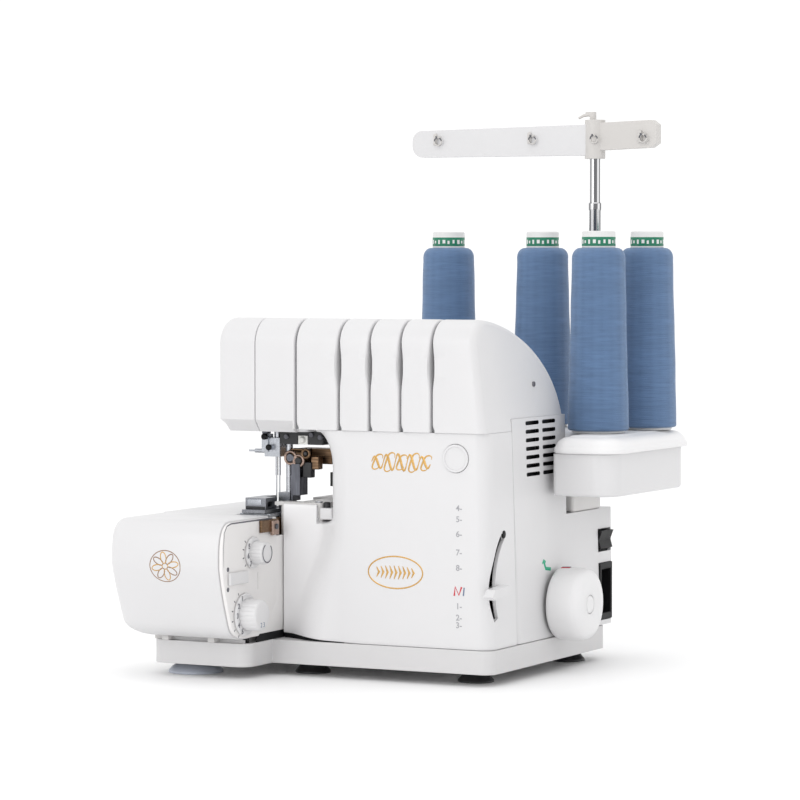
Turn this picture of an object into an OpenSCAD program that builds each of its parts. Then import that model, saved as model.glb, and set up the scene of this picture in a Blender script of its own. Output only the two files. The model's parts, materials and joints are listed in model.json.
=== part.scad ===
// Serger overlock machine: four cones of thread, a head with thread slots,
// a looper cover with a dial panel, and a spool stand behind the head.
// Millimetres, +Z up, origin at the centre of the footprint on the table.
// The operator faces +Y; the handwheel is on the +X side.

/* [Body] */
// Wall thickness of the plastic covers
wall = 3; // [2.5:0.5:3.5]
// Radius of the upright front corners
corner_r = 12; // [8:1:14]
// Width of the open thread slots in the head
slot_w = 2.6; // [2:0.2:3.2]
// Number of rows of cooling slots in the right side
vent_rows = 7; // [4:1:7]
// Height of one cooling slot
vent_h = 3.3; // [2.5:0.1:3.6]

/* [Base] */
// Diameter of one suction foot
foot_d = 46; // [38:1:48]
// Thickness of the base plate's skin
base_skin = 3; // [2.5:0.5:4]

/* [Controls] */
// Radius of the handwheel
wheel_r = 30.5; // [27:0.5:31]
// How far the handwheel stands out of the side
wheel_w = 31.5; // [26:0.5:33]
// Radius of the stitch length dial's ring
length_ring_r = 17.5; // [15:0.5:18]
// Radius of the cutting width dial's ring
width_ring_r = 13; // [11:0.5:14]
// Radius of the threading push button
button_r = 11.5; // [9:0.5:12]

/* [Stitching] */
// Radius of the presser bar
presser_bar_r = 3; // [2.5:0.1:3.2]
// Radius of the needle bar
needle_bar_r = 3.2; // [2.6:0.1:3.4]
// Gap between the two needles
needle_gap = 3; // [2.4:0.2:3.6]

/* [Spool stand] */
// Height of a spool pin above the tray
pin_h = 58; // [48:1:60]
// Radius of a wound cone at its foot
cone_foot_r = 26; // [24.5:0.5:27]
// Radius of a wound cone under its shoulder
cone_top_r = 22.3; // [21:0.1:23]
// Radius of the cone's end cap
cone_cap_r = 14.3; // [13.5:0.1:15]
// Radius of the lower tube of the mast
mast_r = 5.3; // [5.1:0.1:5.8]
// Radius of the upper rod of the mast
rod_r = 4.7; // [4.4:0.1:4.7]

/* [Hidden] */
$fn = 48;
eps = 0.01;
run = 0.06;                     // running clearance of shafts and pins
gap = 0.3;                      // clearance of covers and loose pieces
table_z = 10;                   // underside of the base plate
base_z = 29.5;                  // top of the base plate
front_y = -96;                  // front face of the column
side_x = 121.5;                 // right face at the base
side_top_x = 116.5;             // right face under the head
back_y = 62;                    // back of the head
low_back_y = 156;               // back of the lower body
seam_z = 206;                   // seam between column and head
top_z = 298;                    // top of the head
bed_z = 126;                    // top of the bed casting's cover
head_x0 = -133;                 // left end of the head
head_x1 = side_top_x;
face_x = -96;                   // seam of the face cover
slots_x = [-17.3, 11.3, 39.7, 68.4];
groove_x = -57.6;
shaft_y = 35;                   // main shaft axis
shaft_z = 57.6;
shaft_r = 5;
motor_y = 96;                   // motor axis
motor_z = 82;
big_r = 22;                     // shaft pulley
small_r = 8;                    // motor pulley
belt_x = 96;                    // middle of the belt
needle_xy = [-99.2, -52];
presser_xy = [-88.2, -52];
bed_box = [[-85, -76, 104], [-45, 30, 131]];
lid_z = 185;
tray_z = 200;
cone_z = 201.5;
cone_xy = [[-39, 153], [53, 153], [141, 75], [154, 149]];
mast_xy = [103, 153];
feet_xy = [[-148, -107], [-58, -66], [92, -62], [98, 108], [-60, 108], [-146, 32]];
length_yz = [-145, 55];
width_yz = [-131, 105];
lever_yz = [-30, 76.5];
lever_r = 58;

knife_yz = [-28, 181];
plate_xz = [-183, 114.6];
cover_yz = [-140, 37];
hinge_y = [-62, -12];
hinge_x = [-160, -116];
lifter_xz = [-72, 200];

// ---------- shape helpers ----------
function arc(cx, cy, r, a0, a1, n) =
    [for (i = [0 : n]) [cx + r * cos(a0 + (a1 - a0) * i / n), cy + r * sin(a0 + (a1 - a0) * i / n)]];
function bezier(a, b, c, d, n) =
    [for (i = [0 : n]) let (t = i / n, u = 1 - t)
        u * u * u * a + 3 * u * u * t * b + 3 * u * t * t * c + t * t * t * d];

module rrect(x0, y0, x1, y1, r) {
    translate([x0 + r, y0])
        square([x1 - x0 - 2 * r, y1 - y0]);
    translate([x0, y0 + r])
        square([x1 - x0, y1 - y0 - 2 * r]);
    for (x = [x0 + r, x1 - r], y = [y0 + r, y1 - r])
        translate([x, y])
            circle(r);
}
module box(a, b) {
    translate(a)
        cube(b - a);
}
module along_x(x0, x1) {
    translate([x0, 0, 0])
        rotate([90, 0, 90])
            linear_extrude(x1 - x0)
                children();
}
module along_y(y0, y1) {
    translate([0, y1, 0])
        rotate([90, 0, 0])
            linear_extrude(y1 - y0)
                children();
}
module along_z(z0, z1) {
    translate([0, 0, z0])
        linear_extrude(z1 - z0)
            children();
}
module xcyl(x0, x1, y, z, r) {
    translate([x0, y, z])
        rotate([0, 90, 0])
            cylinder(r = r, h = x1 - x0);
}
module ycyl(y0, y1, x, z, r) {
    translate([x, y0, z])
        rotate([-90, 0, 0])
            cylinder(r = r, h = y1 - y0);
}
module zcyl(z0, z1, x, y, r) {
    translate([x, y, z0])
        cylinder(r = r, h = z1 - z0);
}
module rod_ring(ring_r, wire_r) {
    rotate_extrude()
        translate([ring_r, 0])
            circle(wire_r, $fn = 20);
}

// ---------- base ----------
module base_outline(inset) {
    rrect(-90 + inset, -97 + inset, 123 - inset, 136 - inset, 11 - inset);
    rrect(-173 + inset, -139 + inset, -80 - inset, 60 - inset, 12 - inset);
}
module base_plate() {
    color("gainsboro")
        difference() {
            union() {
                difference() {
                    along_z(table_z, base_z)
                        base_outline(0);
                    along_z(table_z - 1, base_z - base_skin)
                        base_outline(3);
                }
                for (p = feet_xy)
                    zcyl(table_z, base_z - 1, p[0], p[1], 9);
                box([-88, 14, 14], [121, 16.5, base_z - 1]);
                box([18, -95, 14], [20.5, 134, base_z - 1]);
                box([-171, -42, 14], [-84, -39.5, base_z - 1]);
            }
            for (p = feet_xy)
                zcyl(table_z - 1, base_z - 5, p[0], p[1], 3);
        }
}
module feet() {
    color("lightsteelblue")
        for (p = feet_xy)
            translate([p[0], p[1], 0]) {
                // the corner foot is the widest
                r = p[0] < -147 ? foot_d / 2 : 15;
                rotate_extrude()
                    polygon([[0, 2.2], [r - 6, 2.2], [r - 3, 0], [r, 0],
                        [r, 1.6], [r - 3, 5], [r < 16 ? 10 : 12, 10], [0, 10]]);
                translate([0, 0, 9])
                    cylinder(r = 2.9, h = 13);
            }
}
module frame_casting() {
    color("silver")
        difference() {
            union() {
                box([-72, -62, base_z], [112, 123, 35]);
                for (x = [-14, 44])
                    box([x, -58, 34], [x + 6, 52, 201]);
                box([-14, 30, 182], [50, 36, 201]);
                box([-118, -66, 236], [-66, 36, 243]);
                box([-67, -57.6, 236], [50, 36, 243]);
                xcyl(49, 116.4, lever_yz[0], lever_yz[1], 3);
                for (x = [-14, 44])
                    box([x, -50, 200], [x + 6, 36, 237]);
                box([-118, -66, 226], [-66, -38, 237]);
                box([-160, -40, 44], [-13, 20, 51]);
                box([20, 66, 34], [70, 126, 52]);
            }
            xcyl(-20, 60, shaft_y, shaft_z, 9);
            xcyl(-20, -2, knife_yz[0], knife_yz[1], 6 + run);
            zcyl(220, 250, needle_xy[0], needle_xy[1], needle_bar_r + run);
            zcyl(220, 250, presser_xy[0], presser_xy[1], presser_bar_r + run);
            xcyl(-1, 80, motor_y, motor_z, 30.1);
            box([-6, -40, 60], [40, 20, 190]);
            box([belt_x - 8, 20, 32.6], [belt_x + 8, 50, 37]);
        }
}

// ---------- column, head and bed covers ----------
function low_plan(i, rear = -46.3) = concat(
    bezier([-79 + i, -79 + i], [-62, -79.5 + i], [-52, front_y + i], [-30, front_y + i], 14),
    arc(side_x - corner_r, front_y + corner_r, corner_r - i, -90, 0, 10),
    [[side_x - i, rear], [-79 + i, rear]]);
function up_plan(i) = concat(
    arc(-10, front_y + 22, 22 - i, 180, 270, 14),
    arc(side_x - corner_r, front_y + corner_r, corner_r - i, -90, 0, 10),
    [[side_x - i, -46.3], [-32 + i, -46.3]]);
module draft(i) {
    along_y(-220, 220)
        polygon([[-200, 0], [side_x - i, 0], [side_x - i, 31], [side_top_x - i, seam_z],
            [side_top_x - i - 0.4, 218], [-200, 218]]);
}
module bed_pocket(i) {
    box([-90, bed_box[0][1] - gap - i, bed_box[0][2] - gap - i],
        [bed_box[1][0] + gap + i, bed_box[1][1] + gap + i, 140]);
}
flare = [for (i = [0 : 10]) [-50 + 18 * cos(90 - 9 * i), 174 + 28.6 * sin(90 - 9 * i)]];
module front_cover() {
    difference() {
        color("white")
            difference() {
                intersection() {
                    union() {
                        difference() {
                            along_z(base_z + 0.5, 131)
                                polygon(low_plan(0));
                            bed_pocket(0);
                        }
                        along_z(bed_z - 1, seam_z - 0.4)
                            polygon(up_plan(0));
                        along_y(-88, -46.3)
                            polygon(concat([[-30, 170], [-30, 202.6]], flare));
                    }
                    draft(0);
                }
                intersection() {
                    union() {
                        difference() {
                            along_z(20, 128)
                                polygon(low_plan(wall, -40));
                            bed_pocket(wall);
                        }
                        along_z(60, 220)
                            polygon(up_plan(wall));
                    }
                    draft(wall);
                }
                box([-76, -60, 20], [118.5, -40, bed_z - wall - 22]);
                box([-29, -60, 20], [116, -40, 220]);
            }
        // arc slot of the differential feed lever
        difference() {
            xcyl(112, 130, lever_yz[0], lever_yz[1], lever_r + 3);
            xcyl(111, 131, lever_yz[0], lever_yz[1], lever_r - 3);
            translate([0, lever_yz[0], lever_yz[1]])
                rotate([-44 - 5, 0, 0])
                    box([100, -90, 0], [140, 90, 90]);
            translate([0, lever_yz[0], lever_yz[1]])
                rotate([18 + 5, 0, 0])
                    box([100, -90, -90], [140, 90, 0]);
            box([100, -50, 0], [140, 90, 200]);
        }
        ycyl(-100, -80, 90, 185.5, button_r + gap);
    }
}
module rear_solid(i) {
    intersection() {
        union() {
            difference() {
                along_z(base_z + 0.5 - 2 * i, bed_z - i)
                    rrect(-79 + i, -46 - i, side_x - i, low_back_y - i, 10 - i);
                bed_pocket(i);
            }
            along_z(bed_z - 20, 131 - i)
                rrect(-79 + i, back_y - 10, side_x - i, low_back_y - i, 10 - i);
            along_z(bed_z - 20, seam_z - 0.4 + i)
                rrect(-32 + i, -46 - 2 * i, side_x - i, back_y - i, 10 - i);
            intersection() {
                along_z(180, 215.8 + i)
                    rrect(-32 + i, -46 - 2 * i, side_x - i, back_y - i, 10 - i);
                box([102 - 2 * i, -60, 180], [130, 80, 230]);
            }
        }
        draft(i);
        box([-100, -46 - 4 * i, 0], [200, 200, 240]);
    }
}
module rear_cover() {
    color("white")
        difference() {
            rear_solid(0);
            rear_solid(wall);
            // cooling slots, two columns
            for (k = [0 : vent_rows - 1], y = [-18.5, 14.4])
                along_x(100, 130)
                    rrect(y, 167 + 7.1 * k, y + 26.3, 167 + 7.1 * k + vent_h, vent_h / 2 - 0.05);
            xcyl(100, 130, shaft_y, shaft_z, 9);
            xcyl(-40, -20, knife_yz[0], knife_yz[1], 7.5);
            box([100, 124, 34], [130, 151, 84]);
            box([100, 124, 93.5], [130, 151, 113.5]);
            box([-82, -42, 42], [-70, 22, 53]);
        }
}
module vent_baffle() {
    color("#202020")
        difference() {
            box([106, -26, 160], [111.5, 50, 214]);
            box([104, -23, 163], [109, 47, 211]);
        }
}
function head_side(i) = concat(
    [[front_y - 2 + i, 190]],
    arc(front_y - 2 + 22, top_z - 22, 22 - i, 180, 90, 12),
    bezier([-75, top_z - i], [-24, 296 - i], [back_y - i, 268 - i], [back_y - i, seam_z], 22),
    [[back_y - i, 190]]);
function head_front(i) = concat(
    [[head_x0 + 6, 203 - 2 * i], [head_x0 + i, 213]],
    arc(head_x0 + 14, top_z - 14, 14 - i, 180, 90, 8),
    arc(head_x1 - 12 - 9, top_z - 12, 12 - i, 90, 4, 8),
    [[head_x1 - i, seam_z], [head_x1 - i, 203 - 2 * i]]);
module head_solid(i) {
    intersection() {
        along_x(-150, 130)
            polygon(head_side(i));
        along_y(-110, 80)
            polygon(head_front(i));
    }
}
module head_shell() {
    difference() {
        head_solid(0);
        difference() {
            head_solid(wall);
            // floor over the throat
            box([-140, -100, 190], [-36, 80, seam_z]);
        }
        box([-36, -110, 190], [130, 100, seam_z]);
        box([101.7, -46.3, 200], [130, 80, 216.1]);
        // opening over the needles
        along_z(195, 210)
            rrect(-118, -76, -50, -20, 6);
    }
}
module head_cover() {
    color("white")
        difference() {
            intersection() {
                head_shell();
                box([face_x + gap, -120, 190], [130, 80, 300]);
            }
            for (x = slots_x) {
                // open slot, then the shallow groove that carries it on
                box([x - slot_w / 2, -120, 222], [x + slot_w / 2, -62, 310]);
                difference() {
                    box([x - slot_w / 2, -120, 203], [x + slot_w / 2, -30, 310]);
                    head_solid(1.2);
                }
            }
            difference() {
                box([groove_x - 0.9, -120, 190], [groove_x + 0.9, 30, 310]);
                head_solid(1.1);
            }
        }
}
module face_cover() {
    color("white")
        intersection() {
            head_shell();
            box([-150, -120, 190], [face_x, 80, 300]);
        }
}

// ---------- left block ----------
function cover_side(i) = concat(
    bezier([-136, 33.5 + i], [-150, 33.5 + i], [-163 + i, 36 + i], [-167 + i, 46 + i * 0.6], 8),
    bezier([-167 + i, 46 + i * 0.6], [-173 + i, 62], [-179 + i, 78], [-182 + i, 95], 6),
    bezier([-182 + i, 98], [-182.7 + i, 120 - i], [-178, 133 - i], [-163, 133 - i], 12),
    [[-97, 133 - i]]);
module cover_slab(x0, x1, i) {
    along_x(x0, x1)
        polygon(concat(cover_side(i), [[-97, 60], [-120, 33.5 + i]]));
}
module looper_cover() {
    color("white")
        difference() {
            cover_slab(-185, -83.4, 0);
            cover_slab(-182.5, -80, 2.5);
            box([-182.5, -120, 30], [-80, -90, 130.5]);
            box([-200, -130, 20], [-80, -90, 56]);
            difference() {
                box([-190, -190, 20], [-184, -90, 140]);
                cover_slab(-186, -180, 3);
                box([-183.8, -190, 20], [-180, -90, 140]);
            }
            for (x = hinge_x) {
                box([x - 0.6, -150, 30], [x + 6.6, -125, 45]);
                xcyl(x - 6, x + 12, cover_yz[0], cover_yz[1], 1.4 + run);
            }
        }
    color("white")
        for (x = hinge_x, d = [-5.6, 6.6])
            difference() {
                xcyl(x + d, x + d + 5, cover_yz[0], cover_yz[1], 3);
                xcyl(x - 6, x + 12, cover_yz[0], cover_yz[1], 1.4 + run);
            }
}
module dial_panel() {
    color("#f4f0ea")
        difference() {
            union() {
                intersection() {
                    cover_slab(-83, -80, 1.4);
                    box([-84, -190, 36], [-79, -97, 131.4]);
                }
                box([-83, -112, 36], [-80, -62, 103]);
                box([-83, -112, 100], [-80, -77, 116]);
                for (z = [40, 88])
                    box([-84, -110, z], [-80, -62, z + 4]);
            }
            xcyl(-90, -70, length_yz[0], length_yz[1], 3 + run);
            xcyl(-90, -70, width_yz[0], width_yz[1], 3 + run);
            box([-90, -168, 82.5], [-70, -146, 89.5]);
            box([-80.8, -122, 74], [-79, -120.6, 88]);
        }
}
module bed_body() {
    color("whitesmoke")
        difference() {
            union() {
                box([-172, -134, base_z], [-88, 50, 33]);
                box([-182, -90, 33], [-88, 50, 36.5]);
                along_z(35, 113.2)
                    difference() {
                        rrect(-185, -125, -88, 52, 10);
                        rrect(-182, -140, -80, 49, 7);
                        translate([-200, -130])
                            square([130, 33.5]);
                    }
            }
            box([-88.5, -140, 20], [-70, 100, 140]);
            box([-186.5, -100, 112], [-180.6, 60, 116]);
        }
    // hinge lugs and pins of the cloth plate, then of the looper cover
    color("whitesmoke")
        for (y = hinge_y)
            union() {
                ycyl(y + 10.6, y + 21.4, plate_xz[0], plate_xz[1], 1.9);
                box([-184.2, y + 10.6, 110], [-182.2, y + 21.4, 114.6]);
                ycyl(y + 0.4, y + 31.6, plate_xz[0], plate_xz[1], 0.8);
            }
    color("whitesmoke")
        for (x = hinge_x)
            union() {
                box([x, -142.6, 30], [x + 6, -133, 37]);
                xcyl(x, x + 6, cover_yz[0], cover_yz[1], 2.6);
                xcyl(x - 5.4, x + 11.4, cover_yz[0], cover_yz[1], 1.4);
            }
}
module cloth_plate() {
    color("white")
        difference() {
            along_z(114.6, 133)
                difference() {
                    rrect(-185, -125, -88, 52, 10);
                    translate([-200, -130])
                        square([130, 33.5]);
                    translate([-116, -98])
                        square([40, 69.2]);
                }
            along_z(113, 130.2)
                difference() {
                    rrect(-182.4, -140, -85, 49.2, 7);
                    translate([-119, -99])
                        square([40, 73]);
                }
            box([-188, -98, 113], [-100, -94, 130.2]);
            ycyl(hinge_y[0] - 1, hinge_y[0] + 33, plate_xz[0], plate_xz[1], 0.8 + run);
            ycyl(hinge_y[1] - 1, hinge_y[1] + 33, plate_xz[0], plate_xz[1], 0.8 + run);
            // the skirt stops where the loopers pass
            box([-120, -82, 113], [-115.4, -54, 130.2]);
            for (y = hinge_y)
                box([-186, y + 10, 110], [-180.6, y + 22, 117.2]);
        }
    color("white")
        for (y = hinge_y, d = [0, 22])
            difference() {
                ycyl(y + d, y + d + 10, plate_xz[0], plate_xz[1], 1.9);
                ycyl(y - 1, y + 33, plate_xz[0], plate_xz[1], 0.8 + run);
            }
}
module needle_bed() {
    color("white")
        difference() {
            union() {
                along_z(104, 143.4)
                    rrect(-85, -76, -45, 30, 5);
                box([-89.2, -76, 140.6], [-80, -66.6, 143.4]);
                box([-118, -25.4, 118], [-84, 10, 127]);
            }
            along_z(100, 140.4)
                rrect(-82, -73, -48, 27, 3);
            box([-115, -22.4, 112], [-70, 7, 124]);
            box([-90, -63, 120], [-70, -16, 150]);
            for (p = [[-50, -70], [-50, 12]])
                zcyl(130, 150, p[0], p[1], 1.8);
        }
}
module needle_plate() {
    color("silver")
        difference() {
            union() {
                box([-115, -90, 131], [-86.5, -29.3, 134]);
                box([-87.4, -62.6, 131], [-71, -17, 134]);
            }
            for (x = [-105, -100.2, -92.5])
                box([x, -49.6, 125], [x + 2.6, -33, 140]);
            box([-102.4, -54, 125], [-96, -50.4, 140]);
            box([-84.6, -61, 130], [-73, -43, 136]);
        }
}
module lower_knife() {
    color("#a98c6f")
        difference() {
            union() {
                box([-96, -97 + 2, 108], [-86, -91, 130.6]);
                box([-96, -92, 108], [-86, -78, 112]);
                box([-86.4, -94, 116], [-85.3, -60, 130.6]);
            }
            ycyl(-100, -85, -91, 122, 2);
        }
}
module looper_bracket() {
    color("silver")
        difference() {
            union() {
                box([-150, -38, 51], [-96, -26, 62]);
                box([-150, -60, 56], [-96, -36, 62]);
                box([-118, -60, 61], [-104, -52, 78]);
                box([-146, -60, 61], [-132, -52, 82]);
            }
            ycyl(-70, -40, -111, 70, 3 + run);
            ycyl(-70, -40, -139, 74, 3 + run);
        }
}
module lower_looper() {
    color("silver")
        union() {
            ycyl(-67, -50, -111, 70, 3);
            ycyl(-67, -62, -111, 70, 6.5);
            along_y(-67, -63) {
                translate([-114, 70])
                    square([6, 36]);
                difference() {
                    translate([-127, 106])
                        circle(19);
                    translate([-127, 106])
                        circle(14.5);
                    translate([-150, 80])
                        square([50, 26]);
                    translate([-150, 80])
                        square([26, 60]);
                }
            }
        }
}
module upper_looper() {
    color("silver")
        union() {
            ycyl(-75, -50, -139, 74, 3);
            ycyl(-75, -70, -139, 74, 6.5);
            along_y(-75, -71) {
                translate([-142, 74])
                    square([6, 26]);
                difference() {
                    translate([-119, 100])
                        circle(23);
                    translate([-119, 100])
                        circle(18.5);
                    translate([-150, 70])
                        square([60, 30]);
                    translate([-124, 80])
                        square([40, 60]);
                }
            }
        }
}

// ---------- needle and presser ----------
module needle_carrier() {
    color("#1c1c1e")
        difference() {
            union() {
                box([-93, -60, 191], [-52, -30, 224]);
                box([-93, -60, 205.5], [-66, -38, 225.5]);
            }
            zcyl(180, 230, presser_xy[0], presser_xy[1], presser_bar_r + run);
            box([-76, -70, 191], [-66, -55, 199]);
            box([-86, -54.5, 180], [-60, -20, 195]);
            ycyl(-50, -20, lifter_xz[0], lifter_xz[1], 3 + run);
        }
}
module lamp() {
    color("white")
        union() {
            box([-75.5, -60, 191.5], [-66.5, -55.5, 198.5]);
            translate([-71, -60, 195])
                rotate([90, 0, 0])
                    cylinder(r1 = 3, r2 = 2, h = 2);
        }
}
module needle_bar() {
    color("silver")
        union() {
            zcyl(196, 268, needle_xy[0], needle_xy[1], needle_bar_r);
            zcyl(258, 262, needle_xy[0], needle_xy[1], 4.6);
        }
}
module needle_clamp() {
    color("silver")
        difference() {
            union() {
                box([-109, -58, 180], [-94.4, -46, 196]);
                box([-111, -59.5, 184], [-105, -50, 199]);
                xcyl(-120, -108, -54, 184.5, 1.8);
                xcyl(-126, -119, -54, 184.5, 0.8);
                ycyl(-61.5, -57, -103, 188, 2.4);
            }
            for (s = [-1, 1])
                zcyl(179, 188, needle_xy[0] + s * needle_gap / 2, needle_xy[1], 1.02);
        }
}
module needles() {
    color("lightgray")
        for (s = [-1, 1])
            translate([needle_xy[0] + s * needle_gap / 2, needle_xy[1], 0]) {
                translate([0, 0, 164])
                    cylinder(r = 1, h = 24);
                translate([0, 0, 144])
                    cylinder(r = 0.55, h = 21);
                translate([0, 0, 140])
                    cylinder(r1 = 0.1, r2 = 0.55, h = 4);
            }
}
module presser_bar() {
    color("silver")
        union() {
            zcyl(146, 272, presser_xy[0], presser_xy[1], presser_bar_r);
            zcyl(245, 250, presser_xy[0], presser_xy[1], 4.6);
        }
}
module presser_foot() {
    color("silver")
        difference() {
            union() {
                box([-112, -92, 134.2], [-90, -34, 137]);
                box([-113, -84, 136], [-104, -46, 146.5]);
                box([-113, -84, 136], [-93.5, -66, 146.5]);
                box([-96, -58, 136], [-84.6, -46, 150]);
            }
            zcyl(140, 160, presser_xy[0], presser_xy[1], presser_bar_r);
            box([-103, -60, 130], [-95.6, -44, 160]);
            box([-108, -80, 139], [-90, -72, 143]);
        }
}
module presser_lifter() {
    color("#303034")
        union() {
            ycyl(-49, 12, lifter_xz[0], lifter_xz[1], 3);
            box([lifter_xz[0] - 2.8, 4, 160], [lifter_xz[0] + 2.8, 9, 200]);
            box([lifter_xz[0] - 6, 2, 152], [lifter_xz[0] + 6, 11, 164]);
        }
}
module knife_arm() {
    color("#8a6a4c")
        union() {
            xcyl(-84, -3, knife_yz[0], knife_yz[1], 6);
            box([-84, -56, 175], [-72, -28, 187]);
            xcyl(-83.8, -72, -52, 181, 6.5);
            box([-71, -44, 174], [-52, -30, 187]);
        }
}
module upper_knife() {
    color("#55565c")
        difference() {
            union() {
                box([-82, -60, 148], [-74, -46, 174.4]);
                box([-83.6, -58, 143], [-81.9, -44, 165]);
            }
            xcyl(-90, -70, -53, 168, 1.6);
        }
}
module feed_dogs() {
    color("#909296")
        union() {
            for (x = [-104.6, -99.8, -92.1])
                difference() {
                    box([x, -47, 121], [x + 1.8, -35.6, 134]);
                    for (k = [0 : 4])
                        translate([x - 1, -46.4 + 2.2 * k, 133.3])
                            rotate([45, 0, 0])
                                cube([4, 1.1, 1.1]);
                }
            box([-105, -47, 112], [-90, -36, 122]);
        }
}

// ---------- drive ----------
module main_shaft() {
    color("silver")
        xcyl(-70, side_x + wheel_w - 6.5, shaft_y, shaft_z, shaft_r);
}
module shaft_bushes() {
    color("#b08d57")
        for (x = [-16, 42])
            difference() {
                xcyl(x, x + 10, shaft_y, shaft_z, 9);
                xcyl(x - 1, x + 11, shaft_y, shaft_z, shaft_r + run);
            }
}
module shaft_pulley() {
    color("#3a3a3c")
        difference() {
            union() {
                xcyl(belt_x - 5, belt_x + 5, shaft_y, shaft_z, big_r - 1);
                for (x = [belt_x - 7, belt_x + 5])
                    xcyl(x, x + 2, shaft_y, shaft_z, big_r + 2);
            }
            xcyl(belt_x - 10, belt_x + 10, shaft_y, shaft_z, shaft_r);
        }
}
module motor_pulley() {
    color("#3a3a3c")
        union() {
            xcyl(belt_x - 5, belt_x + 5, motor_y, motor_z, small_r - 1);
            for (x = [belt_x - 7, belt_x + 5])
                xcyl(x, x + 2, motor_y, motor_z, small_r + 2);
            xcyl(74, belt_x + 8, motor_y, motor_z, 3);
        }
}
// flat belt round the two pulleys, its straight runs on their common tangents
function belt_loop(grow) =
    let (dy = motor_y - shaft_y, dz = motor_z - shaft_z,
        lean = atan2(dz, dy), open = acos((big_r - small_r) / sqrt(dy * dy + dz * dz)))
    concat(arc(shaft_y, shaft_z, big_r + grow, lean + open, lean + 360 - open, 30),
        arc(motor_y, motor_z, small_r + grow, lean - open, lean + open, 14));
module drive_belt() {
    color("#222222")
        difference() {
            along_x(belt_x - 4, belt_x + 4)
                polygon(belt_loop(1.2));
            along_x(belt_x - 5, belt_x + 5)
                polygon(belt_loop(-0.7));
        }
}
module eccentrics() {
    color("silver")
        for (k = [0 : 2])
            difference() {
                xcyl(-62 + 16 * k, -54 + 16 * k, shaft_y + 3 * cos(120 * k), shaft_z + 3 * sin(120 * k), 13);
                xcyl(-63 + 16 * k, -53 + 16 * k, shaft_y, shaft_z, shaft_r);
            }
}
module motor() {
    color("#8e9196")
        difference() {
            union() {
                xcyl(2, 72, motor_y, motor_z, 27);
                xcyl(-6, 2.1, motor_y, motor_z, 12);
                xcyl(71.9, 76, motor_y, motor_z, 9);
                box([24, 76, 52], [66, 116, 60]);
            }
            xcyl(60, 80, motor_y, motor_z, 3 + run);
            for (k = [0 : 11])
                translate([0, motor_y, motor_z])
                    rotate([30 * k, 0, 0])
                        box([8, -2, 25.5], [20, 2, 30]);
        }
}
module circuit_board() {
    color("#2e7d46")
        union() {
            box([-50, 140, 46], [60, 141.6, 118]);
            box([-40, 132, 60], [-18, 140.1, 92]);
            for (x = [0 : 14 : 42])
                ycyl(128, 140.1, x, 100, 5);
            for (x = [-46, 56])
                box([x - 3, 141.5, 50], [x + 3, 152.95, 56]);
        }
}
module power_inlet() {
    color("#161616")
        difference() {
            box([98, 124.3, 34.3], [side_x, 150.7, 83.7]);
            box([108, 128, 40], [side_x + 1, 147, 78]);
        }
}
module power_rocker() {
    color("#161616")
        union() {
            ycyl(124.2, 150.8, 112, 103.5, 3);
            along_y(125, 150)
                polygon([[110, 96], [118.5, 95], [121.8, 96.5], [119.8, 103.5], [122.8, 111.5],
                    [118.5, 112], [110, 111]]);
        }
}
module handwheel() {
    color("white")
        difference() {
            union() {
                xcyl(side_x + 2.2, side_x + wheel_w - 4, shaft_y, shaft_z, wheel_r);
                translate([side_x + wheel_w - 4, shaft_y, shaft_z])
                    rotate([0, 90, 0])
                        cylinder(r1 = wheel_r, r2 = wheel_r - 4, h = 4);
            }
            xcyl(side_x + 0.5, side_x + wheel_w - 6, shaft_y, shaft_z, shaft_r);
            difference() {
                xcyl(side_x + 0.5, side_x + wheel_w - 8, shaft_y, shaft_z, wheel_r - 3);
                xcyl(side_x, side_x + wheel_w, shaft_y, shaft_z, 11);
            }
        }
}

// ---------- controls ----------
module dial(ring_r, knob_r, knob_l) {
    xcyl(-92, -79, 0, 0, 3);
    xcyl(-79.6, -77.2, 0, 0, ring_r);
    difference() {
        xcyl(-77.4, -79.6 + knob_l, 0, 0, knob_r);
        for (k = [0 : 17])
            rotate([20 * k, 0, 0])
                translate([-76, 0, knob_r + 0.5])
                    rotate([0, 90, 0])
                        cylinder(r = 1, h = 30, $fn = 16);
    }
}
module length_dial() {
    color("white")
        translate([0, length_yz[0], length_yz[1]])
            dial(length_ring_r, 13, 17.5);
}
module width_dial() {
    color("white")
        translate([0, width_yz[0], width_yz[1]])
            dial(width_ring_r, 9.5, 14);
}
module latch_slider() {
    color("white")
        union() {
            box([-79.7, -172, 81], [-77, -142, 91]);
            box([-86, -162, 83], [-79.6, -152, 89]);
        }
}
module feed_lever() {
    color("white")
        difference() {
            union() {
                xcyl(104, 116, lever_yz[0], lever_yz[1], 6);
                box([112, lever_yz[0] - lever_r - 2, lever_yz[1] - 4], [115, lever_yz[0], lever_yz[1] + 4]);
                box([112, lever_yz[0] - lever_r - 2, lever_yz[1] - 3],
                    [124, lever_yz[0] - lever_r + 2, lever_yz[1] + 3]);
                along_x(121.8, 130)
                    polygon([[-110, 75], [-104, 80.6], [-78, 82.6], [-75, 80], [-78, 74.6], [-106, 72.4]]);
            }
            xcyl(100, 120, lever_yz[0], lever_yz[1], 3 + run);
        }
}
module push_button() {
    color("white")
        difference() {
            union() {
                ycyl(front_y - 1.2, -88, 90, 185.5, button_r);
                ycyl(-89, -86, 90, 185.5, button_r + 2);
            }
            ycyl(-100, front_y - 0.4, 90, 185.5, button_r - 2);
        }
}

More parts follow.
